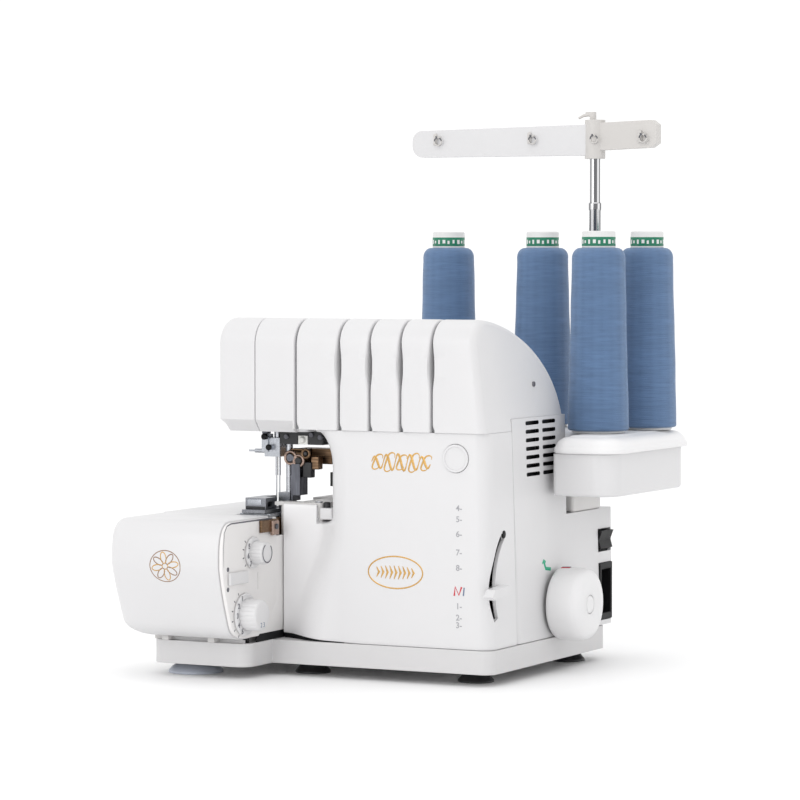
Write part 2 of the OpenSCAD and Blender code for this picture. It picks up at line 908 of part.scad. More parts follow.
// ---------- spool stand ----------
module stand_outline(i) {
    rrect(-92 + i, 64 + i, 180 - i, 177.2 - i, 18 - i);
    rrect(124 + i, 17 + i, 180 - i, 177.2 - i, 18 - i);
}
module stand_box() {
    color("white")
        difference() {
            union() {
                along_z(149, lid_z - 0.4)
                    stand_outline(0);
                box([40, 75, 131], [118, 134, 150]);
                box([-60, 75, 131], [0, 134, 150]);
            }
            along_z(149 + wall, lid_z + 1)
                stand_outline(wall);
            box([44, 79, 130], [114, 130, 146]);
            box([-56, 79, 130], [-4, 130, 146]);
        }
}
module frustum(x0, y0, x1, y1, z0, z1, run_in) {
    intersection() {
        along_x(x0, x1)
            polygon([[y0, z0], [y1, z0], [y1 - run_in, z1], [y0 + run_in, z1]]);
        along_y(y0, y1)
            polygon([[x0, z0], [x1, z0], [x1 - run_in, z1], [x0 + run_in, z1]]);
    }
}
module stand_lid() {
    color("white")
        difference() {
            union() {
                along_z(lid_z, lid_z + 5)
                    difference() {
                        stand_outline(-5);
                        translate([-120, 20])
                            square([241.5, 42.6]);
                        translate([100, 10])
                            square([21.5, 60]);
                    }
                intersection() {
                    frustum(-97, 63, 185, 182.2, lid_z + 5, tray_z, 14);
                    along_z(lid_z, 210)
                        rrect(-97, 63, 185, 182.2, 22);
                }
                intersection() {
                    frustum(121.8, 12, 185, 182.2, lid_z + 5, tray_z, 14);
                    along_z(lid_z, 210)
                        rrect(121.8, 12, 185, 182.2, 22);
                }
                zcyl(lid_z, tray_z + 12, mast_xy[0], mast_xy[1], 10);
                for (p = cone_xy)
                    zcyl(lid_z, tray_z, p[0], p[1], 28);
            }
            along_z(lid_z - 1, tray_z - wall)
                difference() {
                    stand_outline(14);
                    translate(mast_xy)
                        circle(10);
                    for (p = cone_xy)
                        translate(p)
                            circle(6);
                }
            zcyl(lid_z - 10, tray_z + 20, mast_xy[0], mast_xy[1], mast_r + run);
            for (p = cone_xy)
                zcyl(lid_z + 2, tray_z + 10, p[0], p[1], 3);
        }
}
module spool_pins() {
    color("whitesmoke")
        for (p = cone_xy)
            translate([p[0], p[1], 0]) {
                translate([0, 0, lid_z + 2])
                    cylinder(r = 3, h = tray_z - lid_z - 2 + pin_h - 3);
                translate([0, 0, tray_z + pin_h - 3])
                    cylinder(r1 = 3, r2 = 1.6, h = 3);
                difference() {
                    translate([0, 0, tray_z])
                        cylinder(r = 22, h = 1.5);
                    translate([0, 0, tray_z - 1])
                        cylinder(r = 3, h = 5);
                }
                difference() {
                    translate([0, 0, tray_z + 1.5])
                        cylinder(r1 = 16.5, r2 = 8, h = 38);
                    translate([0, 0, tray_z])
                        cylinder(r = 3, h = 50);
                }
            }
}
module mast_tube() {
    color("silver")
        difference() {
            union() {
                zcyl(184, 396, mast_xy[0], mast_xy[1], mast_r);
                zcyl(390, 396, mast_xy[0], mast_xy[1], mast_r + 0.5);
            }
            zcyl(183, 400, mast_xy[0], mast_xy[1], rod_r + run);
        }
}
module mast_rod() {
    color("silver")
        zcyl(230, 440, mast_xy[0], mast_xy[1], rod_r);
}
module thread_bar() {
    color("white")
        difference() {
            union() {
                along_y(146.5, 159.5)
                    polygon(concat([[100, 437], [100, 464], [70, 463.5]],
                        arc(-62, 451, 10, 80, 180, 8), arc(-62, 447, 10, 180, 270, 6)));
                along_y(147.5, 158.5)
                    polygon([[100, 441], [157, 443], [163, 447], [163, 463], [158, 467], [100, 465]]);
                zcyl(434, 468, mast_xy[0], mast_xy[1], 9);
                box([99, 150, 466], [103, 156, 475]);
                box([95, 150, 471.5], [103, 156, 475]);
            }
            along_y(149, 170)
                polygon([[90, 440], [90, 461.3], [70, 461], [-60, 458.5], [-69, 452], [-68, 445], [-62, 440]]);
            along_y(150, 170)
                polygon([[115, 444.5], [155, 446.5], [159.5, 449], [159.5, 462], [157, 464], [115, 462]]);
            zcyl(430, 458, mast_xy[0], mast_xy[1], rod_r);
        }
}
module wire_guides() {
    color("silver")
        for (x = [-45, 47, 106, 152])
            translate([x, 143.6, 451]) {
                rotate([90, 0, 0])
                    rod_ring(3.4, 0.6);
                translate([0, 0, 3.4])
                    rotate([-90, 0, 0])
                        cylinder(r = 0.6, h = 6, $fn = 20);
                translate([-4.5, 1.9, -3])
                    cube([1.6, 1.4, 10]);
                translate([-4.5, 1.9, 2.4])
                    cube([6, 1.4, 2]);
            }
}
module cone(p) {
    // plastic core with its cap, and the thread wound on it
    core_foot = 20.8;
    core_top = 12.2;
    translate([p[0], p[1], cone_z]) {
        color("steelblue")
            rotate_extrude()
                polygon(concat([[core_foot + 0.2, 0.5], [cone_foot_r - 0.8, 0.5], [cone_foot_r, 2],
                    [cone_top_r + 0.3, 143]],
                    arc(cone_top_r - 6.8, 150, 7.1, -10, 80, 8),
                    [[core_top + 0.3, 158]]));
        color("white")
            rotate_extrude()
                polygon([[core_foot - 1.4, 0], [core_foot + 1.2, 0], [core_foot + 1.2, 0.5],
                    [core_foot + 0.2, 0.5], [core_top + 0.3, 158], [cone_cap_r, 158],
                    [cone_cap_r, 168.5], [cone_cap_r - 1, 169.5], [5, 169.5], [5, 167.5],
                    [cone_cap_r - 2.5, 167.5], [core_top - 1.4, 157]]);
    }
}
module cone_1() {
    cone(cone_xy[0]);
}
module cone_2() {
    cone(cone_xy[1]);
}
module cone_3() {
    cone(cone_xy[2]);
}
module cone_4() {
    cone(cone_xy[3]);
}

// ---------- threading parts and fasteners ----------
module tension_discs() {
    color("silver")
        union() {
            xcyl(-40, 92, -76, 254, 2);
            for (x = slots_x, s = [-1, 1])
                xcyl(x + s * 1.6 - 0.6, x + s * 1.6 + 0.6, -76, 254, 9);
        }
}
module thread_rail() {
    color("#2a2a2c")
        difference() {
            union() {
                box([-46, -64, 222], [98, -58, 282]);
                box([-44, -82, 246], [-39, -60, 262]);
                box([90, -82, 246], [95, -60, 262]);
            }
            xcyl(-50, 100, -76, 254, 2);
            for (x = slots_x)
                box([x - 2, -70, 230], [x + 2, -61, 276]);
        }
}
module screws() {
    color("silver")
        union() {
            for (p = [[-50, -70], [-50, 12]])
                translate([p[0], p[1], 143.4]) {
                    cylinder(r = 3.2, h = 1.2);
                    translate([0, 0, -6])
                        cylinder(r = 1.6, h = 6.5);
                }
            translate([-41.5, -72, 131])
                cylinder(r = 2.4, h = 11);
        }
}

base_plate();
feet();
frame_casting();
front_cover();
rear_cover();
head_cover();
face_cover();
vent_baffle();
bed_body();
dial_panel();
needle_bed();
needle_plate();
needle_carrier();
lamp();
tension_discs();
thread_rail();
looper_bracket();
lower_knife();
circuit_board();
motor();
shaft_bushes();
drive_belt();
power_inlet();
screws();
handwheel();
main_shaft();
shaft_pulley();
eccentrics();
motor_pulley();
needle_bar();
needle_clamp();
needles();
presser_bar();
presser_foot();
presser_lifter();
upper_knife();
knife_arm();
feed_dogs();
lower_looper();
upper_looper();
looper_cover();
cloth_plate();
length_dial();
width_dial();
latch_slider();
feed_lever();
push_button();
power_rocker();
stand_box();
stand_lid();
spool_pins();
mast_tube();
mast_rod();
thread_bar();
wire_guides();
cone_1();
cone_2();
cone_3();
cone_4();
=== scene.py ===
"""Looks of the serger overlock machine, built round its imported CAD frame. Lengths are millimetres."""
import json
from math import atan2, cos, degrees, pi, radians, sin, sqrt, tan

import bmesh
import bpy
from mathutils import Matrix, Vector

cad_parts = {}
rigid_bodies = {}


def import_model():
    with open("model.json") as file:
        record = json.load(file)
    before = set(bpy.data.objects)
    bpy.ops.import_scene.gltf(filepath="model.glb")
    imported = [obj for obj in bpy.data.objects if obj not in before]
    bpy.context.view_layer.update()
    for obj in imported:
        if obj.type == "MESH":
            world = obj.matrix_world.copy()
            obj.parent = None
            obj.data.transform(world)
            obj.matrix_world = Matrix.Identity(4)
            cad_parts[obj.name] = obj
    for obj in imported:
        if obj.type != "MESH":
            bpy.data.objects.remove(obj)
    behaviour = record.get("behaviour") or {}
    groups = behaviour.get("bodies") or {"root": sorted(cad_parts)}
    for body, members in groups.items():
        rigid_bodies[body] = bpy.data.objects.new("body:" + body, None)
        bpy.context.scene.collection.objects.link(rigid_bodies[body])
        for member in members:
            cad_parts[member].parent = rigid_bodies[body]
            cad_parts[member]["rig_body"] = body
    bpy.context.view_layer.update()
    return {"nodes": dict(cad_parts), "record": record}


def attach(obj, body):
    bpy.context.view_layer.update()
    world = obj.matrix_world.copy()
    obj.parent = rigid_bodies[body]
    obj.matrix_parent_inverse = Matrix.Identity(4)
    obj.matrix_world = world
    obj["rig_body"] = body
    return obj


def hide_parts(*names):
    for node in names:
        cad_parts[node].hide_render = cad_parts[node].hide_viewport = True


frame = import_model()
MM = 0.001
NODES = frame["nodes"]


# ---------------------------------------------------------------- materials
class Shader:
    """A Principled material with small helpers for its nodes."""

    def __init__(self, name, color, rough, **sockets):
        self.mat = bpy.data.materials.new(name)
        self.mat.use_nodes = True
        self.tree = self.mat.node_tree
        self.bsdf = self.tree.nodes["Principled BSDF"]
        self.color = color
        self.rough = rough
        self.bsdf.inputs["Base Color"].default_value = (*color, 1)
        self.bsdf.inputs["Roughness"].default_value = rough
        for key, value in sockets.items():
            self.bsdf.inputs[key.replace("_", " ")].default_value = value
        self.coords = self.add("ShaderNodeTexCoord").outputs["Object"]
        self.normal = None

    def add(self, kind, **values):
        node = self.tree.nodes.new(kind)
        for key, value in values.items():
            if hasattr(node, key):
                setattr(node, key, value)
            else:
                node.inputs[key.replace("_", " ")].default_value = value
        return node

    def link(self, source, target):
        self.tree.links.new(source, target)
        return target.node

    def scaled(self, scale):
        mapping = self.add("ShaderNodeMapping", Scale=scale)
        self.link(self.coords, mapping.inputs["Vector"])
        return mapping.outputs["Vector"]

    def noise(self, scale, detail=3.0, vector=None):
        node = self.add("ShaderNodeTexNoise", Scale=scale, Detail=detail)
        self.link(vector or self.coords, node.inputs["Vector"])
        return node.outputs["Fac"]

    def span(self, value, low, high, from_low=0.3, from_high=0.7):
        node = self.add("ShaderNodeMapRange", From_Min=from_low, From_Max=from_high, To_Min=low, To_Max=high)
        self.link(value, node.inputs["Value"])
        return node.outputs["Result"]

    def math(self, operation, a, b=None):
        node = self.add("ShaderNodeMath", operation=operation)
        for socket, value in zip(node.inputs, (a, b)):
            if isinstance(value, (int, float)):
                socket.default_value = value
            elif value is not None:
                self.link(value, socket)
        return node.outputs["Value"]

    def tint(self, value, other):
        """Base colour runs from the shader's own colour to other as value goes from 0 to 1."""
        mix = self.add("ShaderNodeMix", data_type="RGBA")
        mix.inputs[6].default_value = (*self.color, 1)
        mix.inputs[7].default_value = (*other, 1)
        if self.bsdf.inputs["Base Color"].is_linked:
            self.link(self.bsdf.inputs["Base Color"].links[0].from_socket, mix.inputs[6])
        self.link(value, mix.inputs[0])
        self.link(mix.outputs[2], self.bsdf.inputs["Base Color"])

    def vary_rough(self, value, low, high):
        self.link(self.span(value, low, high), self.bsdf.inputs["Roughness"])

    def bump(self, height, strength, distance):
        node = self.add("ShaderNodeBump", Strength=strength, Distance=distance)
        self.link(height, node.inputs["Height"])
        if self.normal:
            self.link(self.normal, node.inputs["Normal"])
        self.normal = node.outputs["Normal"]
        self.link(self.normal, self.bsdf.inputs["Normal"])


def shade(color, factor):
    return tuple(min(1.0, c * factor) for c in color)


def moulded(s, rough, coat, grain=1500, depth=0.00006):
    """Gives a plastic its fine spark-eroded grain and uneven polish."""
    s.bsdf.inputs["Coat Weight"].default_value = coat
    s.bsdf.inputs["Coat Roughness"].default_value = 0.25
    s.vary_rough(s.noise(45.0, 4.0), rough - 0.05, rough + 0.07)
    s.bump(s.noise(grain, 2.0), 0.35, depth)
    s.bump(s.noise(60.0, 2.0), 0.2, 0.00012)
    return s.mat


def plastic(name, color, rough=0.36, coat=0.0, grain=1500, depth=0.00006, **sockets):
    """Injection-moulded plastic, with a slow colour drift."""
    s = Shader(name, color, rough, **sockets)
    s.tint(s.span(s.noise(9.0, 4.0), 0.0, 1.0), shade(color, 0.972))
    s.tint(s.span(s.noise(420.0, 2.0), 0.0, 0.35), shade(color, 0.965))
    return moulded(s, rough, coat, grain, depth)


def metal(name, color, rough=0.3, grain=(40, 1600, 1600), streak=0.12):
    """Ground metal: long fine scratches one way, cloudy polish."""
    s = Shader(name, color, rough, Metallic=1.0)
    lines = s.noise(1.0, 4.0, s.scaled(grain))
    s.tint(s.span(lines, 0.0, 1.0, 0.35, 0.65), shade(color, 1 - 2 * streak))
    s.vary_rough(s.noise(90.0, 4.0), rough * 0.75, rough * 1.35)
    s.bump(lines, 0.25, 0.00005)
    return s.mat


def cast_metal(name, color, rough=0.5):
    s = Shader(name, color, rough, Metallic=1.0)
    s.tint(s.span(s.noise(130.0, 5.0), 0.0, 1.0), shade(color, 0.7))
    s.vary_rough(s.noise(300.0, 3.0), rough - 0.12, rough + 0.15)
    s.bump(s.noise(900.0, 3.0), 0.5, 0.00015)
    return s.mat


THREAD_PITCH = 0.00052  # metres between strands


def thread_material(name, color):
    """Wound thread: crossing helices of fine strands in slow bands, with a sheen. UV is turns by metres."""
    s = Shader(name, color, 0.62)
    s.bsdf.inputs["Sheen Weight"].default_value = 0.35
    s.bsdf.inputs["Sheen Roughness"].default_value = 0.4
    s.bsdf.inputs["Sheen Tint"].default_value = (0.75, 0.85, 1.0, 1)
    s.coords = s.add("ShaderNodeUVMap").outputs["UV"]
    split = s.add("ShaderNodeSeparateXYZ")
    s.link(s.coords, split.inputs[0])
    u, v = split.outputs[0], split.outputs[1]
    waves = []
    for turns in (9.0, -9.0):
        along, round_it = s.math("MULTIPLY", v, 2 * pi / THREAD_PITCH), s.math("MULTIPLY", u, turns * 2 * pi)
        waves.append(s.math("SINE", s.math("ADD", along, round_it)))
    strands = s.math("MAXIMUM", waves[0], waves[1])
    bands = s.noise(1.0, 4.0, s.scaled((7.0, 420.0, 1.0)))
    slow = s.noise(1.0, 2.0, s.scaled((2.0, 60.0, 1.0)))
    s.tint(s.span(strands, 0.75, 0.0, -0.2, 1.0), shade(color, 0.62))
    s.tint(s.span(bands, 0.0, 0.7), shade(color, 1.28))
    s.tint(s.span(slow, 0.0, 0.6), shade(color, 0.8))
    s.bump(strands, 0.5, 0.00016)
    s.bump(bands, 0.4, 0.0003)
    return s.mat


WHITE = (0.672, 0.667, 0.674)
WARM = (0.668, 0.655, 0.645)
# painted reflection: the mast's chrome has a dark band painted into its base colour, centred on this direction
PAINTED_REFLECTION_DARK_DIR = (0.454, -0.891, 0)  # direction from the mast's axis to the middle of its dark band


def chrome_tube_painted_reflection(name):
    """Drawn and polished tube, with darker and brighter reflection bands painted into its base colour, fixed
    round its axis.
    """
    s = Shader(name, (0.80, 0.81, 0.83), 0.16, Metallic=1.0)
    across = s.add("ShaderNodeVectorMath", operation="DOT_PRODUCT")
    s.link(s.add("ShaderNodeTexCoord").outputs["Normal"], across.inputs[0])
    across.inputs[1].default_value = PAINTED_REFLECTION_DARK_DIR
    turned = s.math("SUBTRACT", 1.0, s.math("ABSOLUTE", across.outputs["Value"]))
    # painted reflection: the ramp turns the normal's angle round the axis into dark and bright bands of base
    # colour
    ramp = s.add("ShaderNodeValToRGB")
    stops = ramp.color_ramp.elements
    stops[0].position, stops[0].color = 0.0, (0.16, 0.16, 0.17, 1)
    stops[1].position, stops[1].color = 1.0, (0.30, 0.30, 0.32, 1)
    for at, grey in ((0.05, 0.20), (0.09, 0.85), (0.26, 0.75), (0.32, 0.12), (0.5, 0.16), (0.58, 0.7),
                     (0.78, 0.8)):
        stop = stops.new(at)
        stop.color = (grey, grey, grey * 1.02, 1)
    s.link(turned, ramp.inputs["Fac"])
    s.link(ramp.outputs["Color"], s.bsdf.inputs["Base Color"])
    lines = s.noise(1.0, 3.0, s.scaled((2500, 2500, 20)))
    s.vary_rough(lines, 0.12, 0.24)
    s.bump(lines, 0.15, 0.00003)
    return s.mat


def cover_plastic_painted_light(name, color):
    """The front cover's moulding, with painted light: its base colour is paler toward the left flank, to lift
    the shade that lies there.
    """
    s = Shader(name, color, 0.34)
    painted_light_x = s.add("ShaderNodeSeparateXYZ")
    s.link(s.coords, painted_light_x.inputs[0])
    # painted light: base colour up to 1.26 times paler, rising from x -15 mm to x -75 mm and beyond
    s.tint(s.span(painted_light_x.outputs[0], 1.0, 0.0, -0.075, -0.015), shade(color, 1.26))
    s.tint(s.math("MULTIPLY", s.span(s.noise(9.0, 4.0), 0.0, 1.0), 0.4), shade(color, 0.985))
    return moulded(s, 0.34, 0.08)


MATS = {
    "cover": cover_plastic_painted_light("cover_abs_painted_light", WHITE),
    "white": plastic("white_abs", WHITE, 0.34, coat=0.08),
    "warm": plastic("warm_white_abs", WARM, 0.42),
    "panel": plastic("panel_abs", (0.78, 0.765, 0.757), 0.40),
    "base": plastic("base_abs", (0.615, 0.608, 0.612), 0.45, grain=1100, depth=0.0001),
    "greige": plastic("greige_nylon_and_painted_shade", (0.585, 0.565, 0.545), 0.40),
    "groove": plastic("groove_shade", (0.20, 0.20, 0.21), 0.6),
    "slot": plastic("slot_shade", (0.05, 0.05, 0.055), 0.6),
    "dark": plastic("dark_nylon_and_painted_shade", (0.018, 0.018, 0.02), 0.42),
    "black": plastic("black_socket_and_painted_shade", (0.010, 0.010, 0.011), 0.42, Specular_IOR_Level=0.15),
    "rubber": plastic("foot_rubber", (0.44, 0.47, 0.54), 0.55, grain=700, depth=0.0002),
    "belt": plastic("belt_rubber", (0.02, 0.02, 0.02), 0.7, grain=500, depth=0.0003),
    "board": plastic("circuit_board", (0.03, 0.16, 0.06), 0.3, grain=300),
    "steel": metal("ground_steel", (0.50, 0.51, 0.54), 0.28),
    "plate": metal("polished_plate", (0.50, 0.52, 0.56), 0.24, grain=(1600, 60, 1600)),
    "foot": metal("foot_steel", (0.33, 0.34, 0.37), 0.3, grain=(1600, 60, 1600), streak=0.2),
    "dark_steel": metal("knife_steel", (0.17, 0.175, 0.20), 0.34, grain=(1600, 1600, 50), streak=0.2),
    "chrome": chrome_tube_painted_reflection("mast_chrome_painted_reflection"),
    # painted light: the tray takes a paler copy of the white plastic, for the light it catches
    "tray": plastic("tray_abs_painted_light", (0.80, 0.795, 0.80), 0.38),
    "wheel": plastic("wheel_abs", (0.77, 0.765, 0.77), 0.40),
    "copper": metal("copper_part", (0.48, 0.35, 0.29), 0.34, streak=0.25),
    "bronze": metal("oiled_bronze", (0.26, 0.165, 0.10), 0.36, streak=0.3),
    "cast": cast_metal("die_casting", (0.50, 0.51, 0.52)),
    "gold": metal("gold_print", (0.62, 0.38, 0.13), 0.42, grain=(900, 900, 900)),
    "brown": plastic("brown_print", (0.26, 0.15, 0.08), 0.5),
    "grey_ink": plastic("grey_print", (0.12, 0.12, 0.14), 0.5),
    "light_ink": plastic("light_grey_print", (0.36, 0.36, 0.38), 0.5),
    "blue_ink": plastic("blue_grey_print", (0.14, 0.18, 0.27), 0.5),
    "red_ink": plastic("red_print", (0.55, 0.03, 0.05), 0.5),
    "green_ink": plastic("green_print", (0.01, 0.36, 0.20), 0.5),
    "lens": plastic("lamp_lens", (0.88, 0.88, 0.84), 0.2, coat=0.3),
    "thread": thread_material("blue_thread", (0.098, 0.178, 0.325)),
    "core": plastic("cone_core", (0.70, 0.70, 0.695), 0.35),
    "green_band": plastic("green_band", (0.004, 0.17, 0.09), 0.4),
}


# ---------------------------------------------------------------- mesh helpers
def add_object(name, data):
    obj = bpy.data.objects.new(name, data)
    bpy.context.scene.collection.objects.link(obj)
    return obj


def place(name, mesh, body, material, slot=None, replaces=(), angle=35):
    """Puts a finished mesh in the scene as a piece that rides on a body."""
    obj = add_object(name, mesh)
    for m in ([material] if isinstance(material, str) else material):
        mesh.materials.append(MATS[m])
    mesh.polygons.foreach_set("use_smooth", [True] * len(mesh.polygons))
    mesh.set_sharp_from_angle(angle=radians(angle))
    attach(obj, body)
    if replaces:
        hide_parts(*replaces)
    return obj


def build(name, verts, faces, body, material, indices=None, **options):
    """A piece from points in millimetres and faces."""
    mesh = bpy.data.meshes.new(name)
    mesh.from_pydata([tuple(c * MM for c in v) for v in verts], [], faces)
    if indices:
        mesh.polygons.foreach_set("material_index", indices)
    bm = bmesh.new()
    bm.from_mesh(mesh)
    bmesh.ops.remove_doubles(bm, verts=bm.verts, dist=1e-7)
    bmesh.ops.recalc_face_normals(bm, faces=bm.faces)
    bm.to_mesh(mesh)
    bm.free()
    return place(name, mesh, body, material, **options)


def refine(node, material, width, segments=2):
    """A CAD node with flat facets joined and edges rounded off by width mm. Width 0 keeps its edges."""
    source = NODES[node]
    bm = bmesh.new()
    bm.from_mesh(source.data)
    bmesh.ops.remove_doubles(bm, verts=bm.verts, dist=1e-6)
    if width:
        bmesh.ops.dissolve_limit(bm, angle_limit=radians(0.6), verts=bm.verts, edges=bm.edges)
    mesh = bpy.data.meshes.new(node + "_skin")
    bm.to_mesh(mesh)
    bm.free()
    mesh.materials.clear()
    slot = next((p["material_slot"] for p in frame["record"]["subparts"] if p["node"] == node), None)
    obj = place(node + "_skin", mesh, source["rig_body"], material, slot=slot, replaces=(node,), angle=30)
    if width:
        bevel = obj.modifiers.new("edges", "BEVEL")
        bevel.width = width * MM
        bevel.segments = segments
        bevel.limit_method = "ANGLE"
        bevel.angle_limit = radians(30)
        bevel.miter_outer = "MITER_ARC"
    smooth = obj.modifiers.new("normals", "WEIGHTED_NORMAL")
    smooth.keep_sharp = True
    return obj


def arc(cx, cy, r, a0, a1, n):
    return [(cx + r * cos(radians(a0 + (a1 - a0) * i / n)),
             cy + r * sin(radians(a0 + (a1 - a0) * i / n))) for i in range(n + 1)]


def bezier(a, b, c, d, n):
    out = []
    for i in range(n + 1):
        t = i / n
        u = 1 - t
        out.append(tuple(u ** 3 * p + 3 * u * u * t * q + 3 * u * t * t * r + t ** 3 * s
                         for p, q, r, s in zip(a, b, c, d)))
    return out


def smoothstep(a, b, x):
    t = min(1.0, max(0.0, (x - a) / (b - a)))
    return t * t * (3 - 2 * t)


def ring_faces(rings, n, closed=False):
    """Quads between rings of n points. closed joins the last ring to the first, else the ends get caps."""
    quads = [(i * n + k, i * n + (k + 1) % n, (i + 1) % rings * n + (k + 1) % n, (i + 1) % rings * n + k)
             for i in range(rings if closed else rings - 1) for k in range(n)]
    return quads if closed else quads + [tuple(range(n))[::-1], tuple(range((rings - 1) * n, rings * n))]


AXES = {"X": lambda a, b, h: (h, a, b), "Y": lambda a, b, h: (a, h, b), "Z": lambda a, b, h: (a, b, h)}


def lathe(name, profile, axis, centre, body, material, segments=64, wobble=None, uv=False, indices=None,
          **options):
    """Turns a profile of (radius, height) round an axis. wobble(radius, height, angle) moves the radius."""
    verts = []
    for r, h in profile:
        for k in range(segments):
            a = 2 * pi * k / segments
            rr = wobble(r, h, a) if wobble and r > 0 else r
            verts.append(AXES[axis](centre[0] + rr * cos(a), centre[1] + rr * sin(a), h))
    faces = ring_faces(len(profile), segments)[:-2]
    picks = [i for i in indices or () for _ in range(segments)]
    if not uv:
        return build(name, verts, faces, body, material, indices=picks, **options)
    mesh = bpy.data.meshes.new(name)
    mesh.from_pydata([tuple(c * MM for c in v) for v in verts], [], faces)
    layer = mesh.uv_layers.new(name="UVMap")
    for face in mesh.polygons:
        i, k = divmod(face.index, segments)
        h0, h1 = profile[i][1] * MM, profile[i + 1][1] * MM
        corners = ((k, h0), (k + 1, h0), (k + 1, h1), (k, h1))
        for loop, (kk, h) in zip(face.loop_indices, corners):
            layer.data[loop].uv = (kk / segments, h)
    return place(name, mesh, body, material, **options)


def tube(name, points, radius, body, material, sides=8, closed=False, flat=1.0, flat_axis=None):
    """A round wire along points. flat squeezes it along flat_axis, for printed lines."""
    pts = [Vector(p) for p in points]
    n = len(pts)
    verts = []
    up = Vector(flat_axis) if flat_axis else Vector((0.13, 0.27, 0.95))
    for i, p in enumerate(pts):
        ahead = pts[(i + 1) % n] if closed or i < n - 1 else p
        behind = pts[i - 1] if closed or i > 0 else p
        tangent = (ahead - behind).normalized()
        side = tangent.cross(up)
        if side.length < 1e-4:
            side = tangent.cross(Vector((1, 0, 0)))
        side.normalize()
        top = side.cross(tangent).normalized()
        r = radius(i / max(1, n - 1)) if callable(radius) else radius
        for k in range(sides):
            a = 2 * pi * k / sides
            verts.append(tuple(p + side * (r * cos(a)) + top * (r * flat * sin(a))))
    return build(name, verts, ring_faces(n, sides, closed), body, material)


def normals_2d(points, closed=True):
    """Outward normals of an anticlockwise outline, or the left side of an open line turned outward."""
    out, n = [], len(points)
    for i in range(n):
        a = points[i - 1] if closed or i > 0 else points[i]
        b = points[(i + 1) % n] if closed or i < n - 1 else points[i]
        d = Vector((b[0] - a[0], b[1] - a[1]))
        d.normalize()
        out.append((d.y, -d.x))
    return out


def stack(name, outline, levels, body, material, point=AXES["Z"], **options):
    """Walls up an outline: levels are (height, inset). The ends are closed."""
    normal = normals_2d(outline)
    verts = [point(x - nx * inset, y - ny * inset, h)
             for h, inset in levels for (x, y), (nx, ny) in zip(outline, normal)]
    return build(name, verts, ring_faces(len(levels), len(outline)), body, material, **options)


def rounded_outline(corners, step=9):
    """An anticlockwise outline from (x, y, radius) corners, rounded whichever way they turn."""
    out, n = [], len(corners)
    for i, (x, y, r) in enumerate(corners):
        p = Vector((x, y))
        a = (Vector(corners[i - 1][:2]) - p).normalized()
        b = (Vector(corners[(i + 1) % n][:2]) - p).normalized()
        half = a.angle(b) / 2
        reach = r / tan(half)
        centre = p + (a + b).normalized() * (r / sin(half))
        s, e = p + a * reach - centre, p + b * reach - centre
        a0, a1 = atan2(s.y, s.x), atan2(e.y, e.x)
        d = (a1 - a0 + pi) % (2 * pi) - pi
        steps = max(2, int(abs(degrees(d)) / step))
        for k in range(steps + 1):
            t = a0 + d * k / steps
            out.append((centre.x + r * cos(t), centre.y + r * sin(t)))
    return out


def round_levels(low, high, r_low, r_high, n=5):
    """Levels of a wall from low to high whose bottom and top edges are rounded."""
    turn = [pi / 2 * k / n for k in range(n + 1)]
    return ([(low + r_low * (1 - cos(a)), r_low * (1 - sin(a))) for a in turn]
            + [(high - r_high * (1 - sin(a)), r_high * (1 - cos(a))) for a in turn])


def across(name, profile, x0, x1, r0, r1, body, material, **options):
    """A (y, z) outline run along X with rounded ends."""
    return stack(name, profile, round_levels(x0, x1, r0, r1, 6), body, material,
                 point=AXES["X"], **options)


def block(name, low, high, radius, body, material, **options):
    """A box with all its edges rounded."""
    outline = rounded_outline([(low[0], low[1], radius), (high[0], low[1], radius),
                               (high[0], high[1], radius), (low[0], high[1], radius)], 15)
    levels = round_levels(low[2], high[2], radius * 0.6, radius * 0.6, 4)
    return stack(name, outline, levels, body, material, **options)


def stud(name, axis, centre, base, shoulder, top, r, chamfer, body, material, segments=24, **options):
    """A round head: straight from base to shoulder, then chamfered up to top."""
    profile = [(0, base), (r, base), (r, shoulder), (r - chamfer, top), (0, top)]
    lathe(name, profile, axis, centre, body, material, segments, **options)


def letters(name, text, size, origin, right, body, material, bold=0.0):
    """Plain digits as thin raised print, size mm tall, centred on origin and reading along right."""
    curve = bpy.data.curves.new(name, "FONT")
    curve.body = text
    curve.size = size * 1.35 * MM
    curve.align_x = "CENTER"
    curve.align_y = "CENTER"
    curve.extrude = 0.06 * MM
    curve.offset = bold * MM
    holder = bpy.data.objects.new(name + "_text", curve)
    mesh = bpy.data.meshes.new_from_object(holder)
    bpy.data.objects.remove(holder)
    x, y = Vector(right), Vector((0, 0, 1))
    basis = Matrix((x, y, x.cross(y))).transposed().to_4x4()
    mesh.transform(Matrix.Translation(Vector(origin) * MM) @ basis)
    mesh.materials.clear()
    return place(name, mesh, body, material, angle=30)


# ---------------------------------------------------------------- head
FRONT_Y, TOP_Z, SEAM_Z = -98.0, 298.0, 206.0
HEAD_X0, HEAD_X1 = -133.0, 116.5
SLOTS = [-17.3, 11.3, 39.7, 68.4]
PANEL_SEAM, FACE_SEAM = -57.6, -96.0


def head_profile():
    """(y, z) from the bottom of the front, up over the top and down the back."""
    rows = [203, 204.2, 206, 208.5, 211, 213]
    front = [(FRONT_Y, z) for z in rows] + [(FRONT_Y, 213 + (276 - 213) * i / 16) for i in range(1, 16)]
    return (front + arc(FRONT_Y + 22, TOP_Z - 22, 22, 180, 90, 10)
            + bezier((-75, 298), (-24, 296), (62, 268), (62, 206), 40)[1:]
            + [(62, 204.5), (62, 203)])


GROOVES = ([(FACE_SEAM, 0.30, 0.9, "face"), (PANEL_SEAM, 0.85, 3.0, "panel")]
           + [(x, 0.85, 4.2, "slot") for x in SLOTS])


